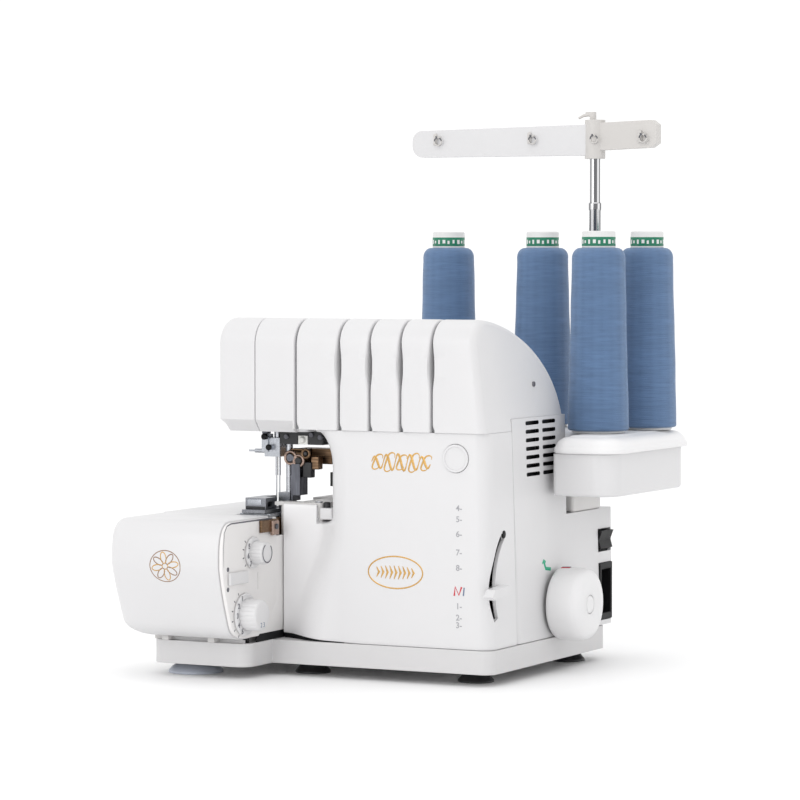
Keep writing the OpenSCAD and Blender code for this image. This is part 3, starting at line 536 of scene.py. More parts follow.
def head_columns():
    """(x, inset of the end, groove, depth in the groove from 0 to 1, distance from the groove's middle)."""
    columns = []
    for k in range(7):
        a = pi / 2 * k / 6
        columns.append((HEAD_X0 + 9 - 9 * cos(a), 9 * (1 - sin(a)), None, 0, 0))
    edges = [HEAD_X0 + 9] + [g[0] for g in GROOVES] + [HEAD_X1 - 7]
    for i in range(len(edges) - 1):
        start = edges[i] + (3.4 if i > 0 else 3)
        end = edges[i + 1] - (3.4 if i < len(GROOVES) else 0)
        columns += [(start + (end - start) * k / 3, 0.0, None, 0, 0) for k in range(4)]
        if i < len(GROOVES):
            groove = GROOVES[i]
            steps = [(1.5, 0.03), (0.8, 0.10), (0.35, 0.26), (0.08, 0.55), (0.0, 1.0)]
            columns += [(groove[0], 0.0, groove, d, -(groove[1] + out)) for out, d in steps]
            columns += [(groove[0], 0.0, groove, d, groove[1] + out) for out, d in steps[::-1]]
    for k in range(1, 7):
        a = pi / 2 * k / 6
        columns.append((HEAD_X1 - 7 + 7 * sin(a), 7 * (1 - cos(a)), None, 0, 0))
    return columns


def head_point(column, row):
    """Point of the head's skin from a column and a row ((y, z), outward normal)."""
    x, sink, groove, depth, off = column
    (y, z), (ny, nz) = row
    if z < 213:
        if x > PANEL_SEAM - 0.5:
            z = 206 + (z - 203) * 0.7
        elif y < 0:
            y += (213 - z) * 0.85
    if groove:
        _, w, deep, kind = groove
        side = 1 if off > 0 else -1
        fade = 1 - smoothstep(-66, -30, y) if kind != "face" else 1.0
        if kind == "slot" and y < -60:
            mid = smoothstep(238, 256, z) * (1 - smoothstep(262, 282, z))
            deep += 7 * mid
            off += side * 0.95 * mid
        x += off
        sink += depth * deep * fade
        if kind != "face" and side > 0 and z < 213.5 and y < 0:
            x += 5.0 * (1 - sqrt(max(0.0, 1 - ((213.5 - z) / 7.6) ** 2)))
    y -= ny * sink
    z -= nz * sink
    lean = (z - 206) * 0.115 * smoothstep(72, HEAD_X1 - 6, x)
    if x < HEAD_X0 + 9.1 and z < 213:
        lean -= (213 - z) * 0.85 * (1 - smoothstep(HEAD_X0 + 1, HEAD_X0 + 9, x))
    return (x - lean, y, z)


def make_head():
    profile = head_profile()
    normal = normals_2d(profile, closed=False)
    rows = [(p, (-n[0], -n[1])) for p, n in zip(profile, normal)]
    columns = head_columns()
    split = next(i for i, c in enumerate(columns) if c[2] == GROOVES[0] and c[4] > 0)
    nrow = len(rows)
    for piece, part, node in (("head_face", columns[:split], "face_cover"),
                              ("head_shell", columns[split:], "head_cover")):
        ncol = len(part)
        verts = [head_point(c, row) for c in part for row in rows]
        inner = len(verts)
        for x, *_ in part:
            xi = min(max(x, HEAD_X0 + 12), HEAD_X1 - 12)
            verts += [head_point((xi, 12, None, 0, 0), row) for row in rows]
        faces, picks = [], []
        for i in range(ncol - 1):
            groove = part[i][2] if part[i][3] == 1.0 and part[i + 1][3] == 1.0 else None
            for j in range(nrow - 1):
                a, b = i * nrow + j, (i + 1) * nrow + j
                y, z = rows[j][0]
                # painted shade: groove floors on the front take the groove_shade grey, and the deep middle of
                # each slot the near-black slot_shade
                dark = 0
                if groove and groove[3] != "face" and y < -40:
                    dark = 2 if groove[3] == "slot" and 243 < z < 278 and y < -60 else 1
                faces += [(a, b, b + 1, a + 1), (inner + a, inner + a + 1, inner + b + 1, inner + b)]
                picks += [dark, 0]
            for j in (0, nrow - 1):
                a, b = i * nrow + j, (i + 1) * nrow + j
                faces.append((a, b, inner + b, inner + a))
                picks.append(0)
        for i in (0, ncol - 1):
            first, last = i * nrow, (i + 1) * nrow - 1
            if (i == 0) == (piece == "head_face"):
                faces += [tuple(range(first, last + 1)), tuple(range(inner + first, inner + last + 1)),
                          (first, last, inner + last, inner + first)]
            else:
                faces += [(a, a + 1, inner + a + 1, inner + a) for a in range(first, last)]
        picks += [0] * (len(faces) - len(picks))
        shell = build(piece, verts, faces, "machine", ["white", "groove", "slot"], indices=picks,
                      slot="white_plastic", replaces=(node,), angle=40)
        if piece == "head_shell":
            carve(shell, [box_cutter("cut_tower", (101.85, -46.1, 200), (140, 80, 215.9))])
    lathe("head_screw", [(0, 112.0), (2.2, 112.0), (2.2, 113.4), (1.5, 113.7), (1.4, 113.1), (0, 113.1)], "X",
          (5.5, 243), "machine", "grey_ink", 24)
    # floor of the head over the throat, with the opening for the needles
    outer = rounded_outline([(-126, -88, 4), (-52, -88, 4), (-52, 58, 4), (-126, 58, 4)])
    hole = rounded_outline([(-118, -76, 4), (-56, -76, 4), (-56, -20, 4), (-118, -20, 4)])
    rings = [(outer, 203.3), (hole, 203.3), (hole, 206.3), (outer, 206.3)]
    verts = [(x, y, z) for ring, z in rings for x, y in ring]
    build("head_floor", verts, ring_faces(4, len(outer), closed=True), "machine", "white", slot="white_plastic")


# ---------------------------------------------------------------- column front
SIDE_X, SIDE_TOP_X, CORNER = 121.5, 116.5, 12.0
BUTTON_XZ = (90, 185.5)
LEVER_YZ, LEVER_R = (-30, 76.5), 58


def side_at(z):
    return SIDE_X - (SIDE_X - SIDE_TOP_X) * max(0.0, z - 31) / 175


STRIP, ROOT = 12, 24


def column_left(z):
    """Left part of the front cover's outline at height z: the strip before the needle bed, then the root."""
    n = STRIP + ROOT
    low = bezier((-79, -79), (-64, -80), (-56, -96), (-30, -96), n)
    deck = ([(-79 + 34.2 * k / STRIP, -79.2) for k in range(STRIP)]
            + bezier((-44.8, -79.2), (-33, -79.6), (-29, -96), (-10, -96), ROOT))
    t = smoothstep(38, 129, z)
    if z <= 126:
        return [(a[0] * (1 - t) + b[0] * t, a[1] * (1 - t) + b[1] * t) for a, b in zip(low, deck)]
    edge = -32 - 18 * (1 - sqrt(1 - min(0.9999, max(0.0, (z - 174) / 31.6)) ** 2))
    root = [(-31.8, -46.4), (edge + 0.8, -46.4), (edge, -47.2)]
    root += [(edge, -52 - 22 * k / 5) for k in range(6)] + arc(edge + 22, -74, 22, 180, 270, 16)[1:]
    s = min(1.0, (z - 126) / 9)
    out = deck[:STRIP]
    for k in range(ROOT + 1):
        w = k / ROOT
        fx = smoothstep(0.45, 1, s) * (1 - w) + smoothstep(0, 1, s) * w
        fy = smoothstep(0, 0.6, s) * (1 - w) + smoothstep(0, 1, s) * w
        a, b = deck[STRIP + k], root[k]
        out.append((a[0] + (b[0] - a[0]) * fx, a[1] + (b[1] - a[1]) * fy))
    return out


def column_plan(z):
    left = column_left(z)
    right = side_at(z)
    mid = [(left[-1][0] + (right - CORNER - left[-1][0]) * k / 12, -96.0) for k in range(1, 12)]
    corner = arc(right - CORNER, -96 + CORNER, CORNER, -90, 0, 10)
    back = [(right, -84 + (84 - 46.3) * k / 6) for k in range(1, 7)]
    return left + mid + corner + back


def make_front_cover():
    zs = ([30.6, 30.8, 31.4] + [34 + 92 * k / 34 for k in range(35)]
          + [126 + 9 * k / 12 for k in range(1, 13)] + [138, 141, 141.8, 142.2]
          + [144 + 30 * k / 11 for k in range(11)]
          + [174 + 31.85 * sin(pi / 2 * k / 14) for k in range(15)])
    n = len(column_plan(50))
    verts, faces = [], []
    for z in zs:
        plan = column_plan(z)
        shrink = {30.6: 0.7, 30.8: 0.25}.get(z, 0.0)
        if z == zs[-1]:
            shrink = 0.2
        normal = normals_2d(plan, closed=False)
        for (x, y), (nx, ny) in zip(plan, normal):
            lift = 3.2 * (1 - smoothstep(-79, -22, x)) * (1 - smoothstep(30, 50, z))
            lift -= 0.85 * smoothstep(-24, 0, x) * (1 - smoothstep(32, 40, z))
            soft = {141.0: 0.1, 141.8: 0.5, 142.2: 1.2}.get(z, 0.0) if x < -45 else 0.0
            verts.append((x - nx * shrink, y - ny * shrink + soft, z + lift))
    for i in range(len(zs) - 1):
        for k in range(n - 1):
            if zs[i + 1] > 131.3 and k == STRIP - 1 or zs[i + 1] > 142.4 and k < STRIP:
                continue
            a, b = i * n + k, (i + 1) * n + k
            faces.append((a, a + 1, b + 1, b))
    mesh = bpy.data.meshes.new("column_front")
    mesh.from_pydata([tuple(c * MM for c in v) for v in verts], [], faces)
    bm = bmesh.new()
    bm.from_mesh(mesh)
    bmesh.ops.delete(bm, geom=[v for v in bm.verts if not v.link_faces], context="VERTS")
    bm.to_mesh(mesh)
    bm.free()
    obj = place("column_front", mesh, "machine", "cover", slot="white_plastic", replaces=("front_cover",),
                angle=50)
    solid = obj.modifiers.new("wall", "SOLIDIFY")
    solid.thickness = 2.9 * MM
    solid.offset = -1
    solid.use_even_offset = False
    bore = [(0, -110), (11.9, -110), (11.9, -80), (0, -80)]
    cut_button = lathe("cut_button", bore, "Y", BUTTON_XZ, "machine", "slot")
    slot_path = arc(*LEVER_YZ, LEVER_R, 129.5, 203, 30)
    cut_slot = ribbon("cut_slot", slot_path, 3.5, (108, 132), "slot")
    # painted shade: a dark grey band behind the lever slot stands for the dark inside it
    ribbon("lever_slot_painted_shade", slot_path, 4.4, (110.2, 111.2), "groove")
    carve(obj, [cut_button, cut_slot])
    stop = arc(*LEVER_YZ, LEVER_R, 127.5, 127.5, 1)[0]
    stud("lever_stop", "X", stop, 118.2, 119.1, 119.6, 3.3, 0.9, "machine", "black")


def ribbon(name, path, half_width, xs, material):
    """A band along a path of (y, z) points, as thick as the two x values."""
    normal = normals_2d(path, closed=False)
    side_a = [(y + ny * half_width, z + nz * half_width) for (y, z), (ny, nz) in zip(path, normal)]
    side_b = [(y - ny * half_width, z - nz * half_width) for (y, z), (ny, nz) in zip(path, normal)]
    return stack(name, side_a + side_b[::-1], [(x, 0) for x in xs], "machine", material, point=AXES["X"])


def box_cutter(name, low, high):
    (x0, y0, z0), (x1, y1, z1) = low, high
    verts = [(x, y, z) for x in (x0, x1) for y in (y0, y1) for z in (z0, z1)]
    faces = [(0, 1, 3, 2), (4, 6, 7, 5), (0, 4, 5, 1), (2, 3, 7, 6), (0, 2, 6, 4), (1, 5, 7, 3)]
    return build(name, verts, faces, "machine", "white")


def carve(obj, cutters, angle=40):
    """Cuts the cutters out of a piece and removes them."""
    for cutter in cutters:
        mod = obj.modifiers.new("cut", "BOOLEAN")
        mod.operation = "DIFFERENCE"
        mod.object = cutter
        mod.solver = "EXACT"
    bpy.context.view_layer.update()
    result = bpy.data.meshes.new_from_object(obj.evaluated_get(bpy.context.evaluated_depsgraph_get()))
    obj.modifiers.clear()
    obj.data = result
    result.set_sharp_from_angle(angle=radians(angle))
    for cutter in cutters:
        bpy.data.objects.remove(cutter)


# ---------------------------------------------------------------- left block
def cover_outline(i=0.0, back=-97.0):
    """(y, z) outline of the looper cover's cross-section, moved in by i, anticlockwise seen from +X."""
    nose = (bezier((-136, 33.5 + i), (-150, 33.5 + i), (-163 + i, 36 + i), (-167 + i, 46 + i * 0.6), 8)
            + bezier((-167 + i, 46 + i * 0.6), (-173 + i, 62), (-179 + i, 78), (-182 + i, 95), 8)[1:]
            + bezier((-182 + i, 98), (-182.7 + i, 120 - i), (-178, 133 - i), (-163, 133 - i), 14))
    return [(back, 60), (back, 133 - i)] + nose[::-1] + [(-120, 33.5 + i)]


def nose_y(z):
    """How far forward the looper cover reaches at height z."""
    pts = sorted((p[1], p[0]) for p in cover_outline() if p[0] < -130)
    for (z0, y0), (z1, y1) in zip(pts, pts[1:]):
        if z0 <= z <= z1 and z1 > z0:
            return y0 + (y1 - y0) * (z - z0) / (z1 - z0)
    return -182.0


def door_solid(name, i, x1, edge):
    """The looper cover's block moved in by i. Its left end is rounded, and more so lower down."""
    outline = cover_outline(i)
    normal = normals_2d(outline)
    steps = 9
    verts = []
    for k in range(steps + 1):
        a = pi / 2 * k / steps
        for (y, z), (ny, nz) in zip(outline, normal):
            low = smoothstep(100, 42, z) if y < -125 else 0.0
            rx, rn = 8 + 15 * low - i, 8 + 2 * low - i
            inset = rn * (1 - sin(a))
            verts.append((-188 + i + rx * (1 - cos(a)), y - ny * inset, z - nz * inset))
    for h, inset in ((x1 - edge, 0), (x1 - edge * 0.4, edge * 0.2), (x1, edge)):
        verts += [(h, y - ny * inset, z - nz * inset) for (y, z), (ny, nz) in zip(outline, normal)]
    return build(name, verts, ring_faces(steps + 4, len(outline)), "front_door", "white")


HINGE_X, HINGE_YZ = [-160, -116], (-140, 37)


def make_left_block():
    door = door_solid("looper_door", 0, -83.5, 1.2)
    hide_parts("looper_cover")
    cuts = [door_solid("cut_inner", 2.5, -70, 0.5),
            box_cutter("cut_back", (-182.5, -121, 25), (-70, -80, 130.5)),
            box_cutter("cut_low", (-200, -130, 20), (-70, -80, 56))]
    cuts += [box_cutter("cut_slot_%d" % k, (x - 0.6, -150, 25), (x + 6.6, -125, 45))
             for k, x in enumerate(HINGE_X)]
    carve(door, cuts)
    for k, x in enumerate(x + d for x in HINGE_X for d in (-5.6, 6.6)):
        lathe("door_barrel_%d" % (k + 1), [(1.5, x), (2.7, x), (3, x + 0.3), (3, x + 4.7), (2.7, x + 5),
                                           (1.5, x + 5), (1.5, x)], "X", HINGE_YZ, "front_door", "white", 32)
    face = across("dial_face", cover_outline(1.2, back=-90), -83.0, -80.0, 0.3, 0.9, "machine", "panel",
                  slot="warm_plastic", replaces=("dial_panel",), angle=40)
    carve(face, [box_cutter("cut_latch", (-90, -168, 82.5), (-70, -146, 89.5)),
                 box_cutter("cut_groove", (-80.6, -122, 74), (-70, -121, 88))])
    # painted shade: black strips in the gaps under the looper cover and at the front cover's root stand for the
    # shade between the covers and the base
    block("plinth_gap_painted_shade", (-158, -131.6, 29.6), (-84, -129.4, 44), 0.3, "machine", "black")
    block("plinth_step", (-165, -134.2, 29.3), (-86, -132, 32.2), 0.4, "machine", "base")
    block("plinth_gap_painted_shade_side", (-81.6, -123, 29.6), (-80.6, -64, 37), 0.2, "machine", "black")
    root = bezier((-79, -79), (-64, -80), (-56, -96), (-30, -96), 20) + [(-14, -96)]
    normal = normals_2d(root, closed=False)
    wall = ([(x - 1.4 * nx, y - 1.4 * ny) for (x, y), (nx, ny) in zip(root, normal)]
            + [(x - 2.6 * nx, y - 2.6 * ny) for (x, y), (nx, ny) in zip(root, normal)][::-1])
    # painted shade along the front cover's root
    stack("plinth_gap_painted_shade_front", wall, [(29.55, 0), (37, 0)], "machine", "black", angle=30)
    # closes the joint between the front and rear covers
    joint = [(side_at(z) - 0.12, z) for z in (30.4, 60, 100, 150, 205.4)] + [(116.0, 205.4), (118, 30.4)]
    stack("cover_joint", joint, [(-47.2, 0), (-45.4, 0)], "machine", "white", point=AXES["Y"], angle=30)
    # painted shadow along the edge where the dial panel is let into the block
    edge = [(-97, 131.2), (-140, 131.2), (-166, 131.2), (-173, 129.6), (-177.4, 124), (-178.6, 112),
            (-178.4, 96)]
    tube("panel_shadow", [(-79.95, y, z) for y, z in edge], lambda t: 0.62 * (1 - t) ** 0.6 + 0.12, "machine",
         "grey_ink", flat=0.2, flat_axis=(1, 0, 0))
    wing = [(-124, 36.2), (-62, 36.2), (-62, 103), (-77, 103), (-77, 116), (-91, 116), (-91, 62)]
    outline = rounded_outline([(y, z, 1) for y, z in wing], 20)
    stack("dial_wing", outline, round_levels(-82.9, -80.05, 0.2, 0.4, 3), "machine", "panel", point=AXES["X"],
          slot="warm_plastic")


# ---------------------------------------------------------------- spool stand
MAST_XY = (103, 153)


def make_stand():
    plan = rounded_outline([(-92, 64, 16), (124, 64, 4), (124, 17, 5), (180, 17, 20), (180, 177.2, 16),
                            (-92, 177.2, 16)], 6)
    tub = stack("stand_tub", plan, round_levels(149, 184.6, 3, 0.5), "machine", "white", slot="white_plastic",
                replaces=("stand_box",), angle=40)
    block("stand_foot_right", (40, 75, 131.1), (118, 134, 150), 3, "machine", "warm", slot="white_plastic")
    block("stand_foot_left", (-60, 75, 131.1), (0, 134, 150), 3, "machine", "warm", slot="white_plastic")
    wide = rounded_outline([(-97, 63.2, 20), (122.4, 63.2, 3), (122.4, 12, 16.4), (185, 12, 24),
                            (185, 182.2, 20), (-97, 182.2, 20)], 5)
    levels = [(185.0, 1.2), (185.4, 0.4), (186.2, 0.0), (188.6, 0.0), (189.6, 0.4), (190.4, 1.4)]
    for k in range(1, 9):
        a = pi / 2 * k / 8
        levels.append((190.4 + 8.2 * sin(a) ** 1.15, 1.4 + 9.5 * (1 - cos(a)) + 2.5 * k / 8))
    levels += [(199.2, 14.6), (199.6, 15.6)]
    # the tray wears the paler tray white, which is painted light
    tray = stack("stand_tray", wide, levels, "machine", "tray", slot="white_plastic", replaces=("stand_lid",),
                 angle=60)
    for piece, low in ((tub, 152), (tray, 180)):
        bore = [(0, low), (5.8, low), (5.8, 215), (0, 215)]
        carve(piece, [lathe("cut_mast", bore, "Z", MAST_XY, "machine", "white", 48)])
    collar = [(5.8, 199), (12, 199), (12, 201), (10.6, 203), (10, 205), (10, 210.6), (9.2, 211.8), (5.8, 212),
              (5.8, 199)]
    lathe("mast_collar", collar, "Z", MAST_XY, "machine", "white", slot="white_plastic")


GREEN_STRIP = 9  # which strip of a core's profile is the green band
CONES = [("spool_1", (-39, 153)), ("spool_2", (53, 153)), ("spool_3", (141, 75)), ("spool_4", (154, 149))]


def make_cones():
    base = 201.5
    for index, (body, centre) in enumerate(CONES):
        rows = [(21.0, 0.5), (23.0, 0.45), (24.6, 0.55), (25.5, 1.1), (25.95, 2.0)]
        count = 300
        for k in range(count + 1):
            t = k / count
            rows.append((26.0 - 3.4 * t, 2.0 + 140.0 * t))
        for k in range(1, 13):
            a = radians(-6 + 88 * k / 12)
            rows.append((15.5 + 7.1 * cos(a), 146.6 + 8.6 * sin(a)))
        rows += [(13.2, 155.4), (12.4, 155.5)]
        rows = [(r, base + h) for r, h in rows]

        def wound(r, h, a, shift=index * 1.7):
            z = h - base
            if z < 1.5 or z > 150:
                return r
            ridge = sin(2 * pi * z / 1.9 + 5 * a + shift) + sin(2 * pi * z / 1.9 - 5 * a)
            band = sin(z / 6.3 + shift) * 0.10 + sin(z / 17.0 + 2 * shift) * 0.12
            return r + 0.05 * ridge + band

        lathe("thread_%d" % (index + 1), rows, "Z", centre, body, "thread", 120, wobble=wound, uv=True,
              slot="thread", replaces=("cone_%d" % (index + 1),), angle=80)
        cap = 14.3
        core = [(19.4, 0), (21.6, 0), (22.0, 0.3), (21.0, 0.6), (12.6, 154.6), (13.2, 155.0),
                (cap - 0.4, 155.2), (cap, 155.5), (cap, 156.6), (cap + 0.05, 156.7), (cap + 0.05, 164.4),
                (cap, 164.5), (cap, 168.4), (cap - 0.5, 169.2), (cap - 1.4, 169.5), (6.2, 169.5),
                (5.4, 169.0), (5.2, 168.0), (5.2, 166.5), (cap - 2.4, 166.5), (11.2, 157), (19.4, 0)]
        picks = [int(k == GREEN_STRIP) for k in range(len(core) - 1)]
        lathe("cone_core_%d" % (index + 1), [(r, base + h) for r, h in core], "Z", centre, body,
              ["core", "green_band"], 72, indices=picks, slot="white_plastic", angle=30)
        verts, faces = [], []
        for k in range(20):
            a0, a1 = 2 * pi * (k + 0.22) / 20, 2 * pi * (k + 0.62 + 0.16 * (k % 3 == 0)) / 20
            h0, h1 = base + 158.6 + 0.5 * (k % 2), base + 162.2 - 0.7 * (k % 3 == 1)
            verts += [(centre[0] + r * cos(a), centre[1] + r * sin(a), h) for r in (cap, cap + 0.14)
                      for a, h in ((a0, h0), (a1, h0), (a1, h1), (a0, h1))]
            faces += [tuple(8 * k + v for v in face) for face in ring_faces(2, 4)]
        build("cone_band_marks_%d" % (index + 1), verts, faces, body, "core", slot="white_plastic")


# ---------------------------------------------------------------- guide bar and mast
def make_mast():
    lower = [(4.76, 184), (5.3, 184), (5.3, 389), (5.75, 390), (5.8, 391), (5.8, 395.4), (5.4, 396),
             (4.76, 396), (4.76, 184)]
    upper = [(0, 230), (4.7, 230), (4.7, 437), (0, 437)]
    for name, profile, body, node in (("mast_lower_tube", lower, "mast_low", "mast_tube"),
                                      ("mast_upper_rod", upper, "mast_high", "mast_rod")):
        lathe(name, profile, "Z", MAST_XY, body, "chrome", 48, slot="chrome", replaces=(node,), angle=30)


# ---------------------------------------------------------------- controls
DIAL_X = -79.6
WIDTH_YZ, LENGTH_YZ = (-131, 105), (-145, 55)
WHEEL_YZ = (35, 57.6)


def make_dial(name, body, node, centre, ring_r, knob_r, length, marks):
    ring = [(0, 0), (ring_r - 0.4, 0), (ring_r, 0.4), (ring_r, 1.6), (ring_r - 0.9, 2.5),
            (knob_r + 0.8, 2.7), (knob_r + 0.5, 2.4), (0, 2.4)]
    knob = [(0, 2.3), (knob_r - 0.2, 2.3), (knob_r, 3), (knob_r - 0.2, length - 2.4),
            (knob_r - 0.7, length - 1.0), (knob_r - 1.8, length - 0.25), (knob_r - 3.0, length), (0, length)]
    spindle = [(0, -92), (2.6, -92), (3, -91.5), (3, -79), (0, -79)]

    def grip(r, h, a):
        return r - 0.45 * max(0.0, cos(18 * a)) ** 3 if r > knob_r - 1.2 else r

    lathe(name + "_ring", [(r, DIAL_X + h) for r, h in ring], "X", centre, body, "white", 72,
          slot="white_plastic", replaces=(node,), angle=30)
    lathe(name + "_knob", [(r, DIAL_X + h) for r, h in knob], "X", centre, body, "white", 144, wobble=grip,
          slot="white_plastic", angle=40)
    lathe(name + "_spindle", spindle, "X", centre, body, "steel", 32, slot="steel")
    first, step, digits = marks
    for k, digit in enumerate(digits):
        y, z = arc(*centre, (ring_r + knob_r) / 2 + 0.3, first + step * k, 0, 1)[0]
        letters("%s_mark_%d" % (name, k), digit, 4.4, (DIAL_X + 2.62, y, z), (0, 1, 0), body, "grey_ink",
                bold=0.22)


def make_dials():
    make_dial("width_dial", "width_knob", "width_dial", WIDTH_YZ, 13, 9.5, 14, (150, 40, "567"))
    make_dial("length_dial", "length_knob", "length_dial", LENGTH_YZ, 17.5, 13, 17.5, (120, 30, "12345"))
    rim = [(-65.55, y, z) for y, z in arc(*WIDTH_YZ, 7.7, 118, 408, 30)]
    tube("width_dial_index", rim, 0.55, "width_knob", "grey_ink", flat=0.2, flat_axis=(1, 0, 0))
    letters("length_dial_digits", "2 3", 4.2, (-62.03, -145.5, 47), (0, 1, 0), "length_knob", "blue_ink")


def make_handwheel():
    rim = [(8.1, 124.4), (11, 124.4), (11, 145), (27, 145), (27, 124.2), (28.6, 123.8), (29.6, 124.6),
           (30.1, 126.4), (30.4, 130), (30.5, 136), (30.4, 142), (30.0, 146), (29.0, 149.4), (27.0, 151.6),
           (23.5, 152.8), (18, 153), (15, 152.4), (9, 152.2), (8.1, 151.6), (8.1, 124.4)]
    lathe("handwheel_rim", rim, "X", WHEEL_YZ, "wheel", "wheel", 120, slot="white_plastic",
          replaces=("handwheel",), angle=40)
    cap = [(0, 147), (7.6, 147), (7.6, 151.2), (6.8, 151.9), (0, 152.1)]
    lathe("wheel_hub_cap", cap, "X", WHEEL_YZ, "wheel", "wheel", 48)
    # generic turning arrow on the side cover, and an index line on the wheel
    ink("arrow_green_stem", "side", [(11.0, 94.5), (14.6, 88.2), (24.5, 87.0)], 1.5, "green_ink")
    ink("arrow_green_tip", "side", [(8.2, 92.6), (10.8, 95.4), (14.6, 93.6)], 1.0, "green_ink")
    for k, (angle, colour, width) in enumerate(((97, "red_ink", 0.55), (92, "grey_ink", 0.7))):
        line = [(x, *arc(*WHEEL_YZ, r, angle, angle, 1)[0])
                for x, r in ((126.5, 30.15), (130, 30.42), (134.5, 30.5))]
        tube("wheel_index_%d" % k, line, width, "wheel", colour)


INK_PLANES = {
    "front": ("machine", lambda u, v: (u, -96.06, v), (0, 1, 0)),
    "door": ("front_door", lambda u, v: (u, nose_y(v) - 0.03, v), (0, 1, 0)),
    "side": ("machine", lambda u, v: (side_at(v) + 0.04, u, v), (1, 0, 0)),
    "panel": ("machine", lambda u, v: (-79.96, u, v), (1, 0, 0)),
}


def ink(name, plane, points, width, material):
    """A printed line. Points are (x, z) on the front and the door, (y, z) on the side and the dial panel."""
    body, to_space, axis = INK_PLANES[plane]
    return tube(name, [to_space(u, v) for u, v in points], width, body, material, flat=0.14, flat_axis=axis)


def oval(centre, across, high, count):
    return [(centre[0] + across * c, centre[1] + high * n) for c, n in arc(0, 0, 1, 0, 360, count)]


def dial_ticks(name, centre, count, first, step, near, far):
    """Printed ticks round a dial, from near to far from its centre."""
    for k in range(count):
        tick = [arc(*centre, r, first + step * k, 0, 1)[0] for r in (near, far)]
        ink("%s_tick_%d" % (name, k), "panel", tick, 0.5, "grey_ink")


BADGE_XZ, ROSETTE_XZ, SCROLL_Z = (35, 90.4), (-133.5, 95.6), 181


def make_prints():
    # scale of the differential feed beside its lever
    for k, (z, digit) in enumerate(zip((144.9, 135.9, 123.8, 108.8, 96.2, 64.9, 55.6, 49.4), "45678123")):
        letters("scale_mark_%d" % k, digit + "-", 5.0, (93, -96.05, z), (1, 0, 0), "machine", "light_ink",
                bold=0.12)
    ink("scale_rest_a", "front", [(88.8, 73.6), (89.6, 81), (93.0, 74.2), (95.4, 81)], 0.8, "red_ink")
    ink("scale_rest_b", "front", [(97, 73.8), (97.8, 80.6)], 0.6, "blue_ink")
    # a generic scroll, and a generic leaf band inside an oval
    wave = [(13 + 54 * k / 60, SCROLL_Z + 7 * sin(k * 0.52) * (0.55 + 0.45 * sin(pi * k / 60)))
            for k in range(61)]
    ink("scroll_wave", "front", wave, lambda t: 0.35 + 0.75 * abs(sin(t * 15.6)), "gold")
    for k in range(5):
        cx = 18.5 + 11.2 * k
        loop = [(cx + 4.6 * cos(t) * (1 + 0.2 * sin(2 * t)), SCROLL_Z + (6.2 + 1.6 * (k % 2)) * sin(t + 0.5))
                for t in [2 * pi * j / 28 for j in range(24)]]
        ink("scroll_loop_%d" % k, "front", loop, lambda t: 0.28 + 0.5 * sin(pi * t), "gold")
    ink("badge_rim", "front", oval(BADGE_XZ, 25, 13.2, 64), 0.6, "gold")
    x0, z0 = BADGE_XZ
    for k in range(9):
        x = x0 - 16 + 4 * k
        high = 5.6 * sqrt(max(0.0, 1 - ((x - x0) / 23.5) ** 2))
        ink("badge_leaf_%d" % k, "front", [(x - 1.3, z0 - high), (x + 0.9, z0), (x - 1.3, z0 + high)],
            lambda t: 0.35 + 0.75 * sin(pi * t), "gold")
    # generic rosette on the looper cover
    for k in range(8):
        a = 2 * pi * k / 8 + 0.2
        petal = []
        for j in range(15):
            t = 2 * pi * j / 14
            r, w = 7.6 - 5.2 * cos(t), 2.6 * sin(t)
            petal.append((ROSETTE_XZ[0] + r * cos(a) - w * sin(a),
                          ROSETTE_XZ[1] + 0.92 * (r * sin(a) + w * cos(a))))
        ink("rosette_petal_%d" % k, "door", petal, 0.45, "brown" if k % 2 else "gold")
    ink("rosette_ring", "door", oval(ROSETTE_XZ, 14.4, 12.9, 48), 0.4, "brown")
    # dial panel: ticks and locking dots
    dial_ticks("width", WIDTH_YZ, 4, 140, 27, 14.0, 16.4)
    dial_ticks("length", LENGTH_YZ, 6, 118, 25, 18.4, 20.6)
    for k, z in enumerate((94.0, 77.5)):
        stud("latch_dot_%d" % k, "X", (-171.5, z), -80.1, -79.86, -79.8, 1.9, 0.4, "machine", "grey_ink")


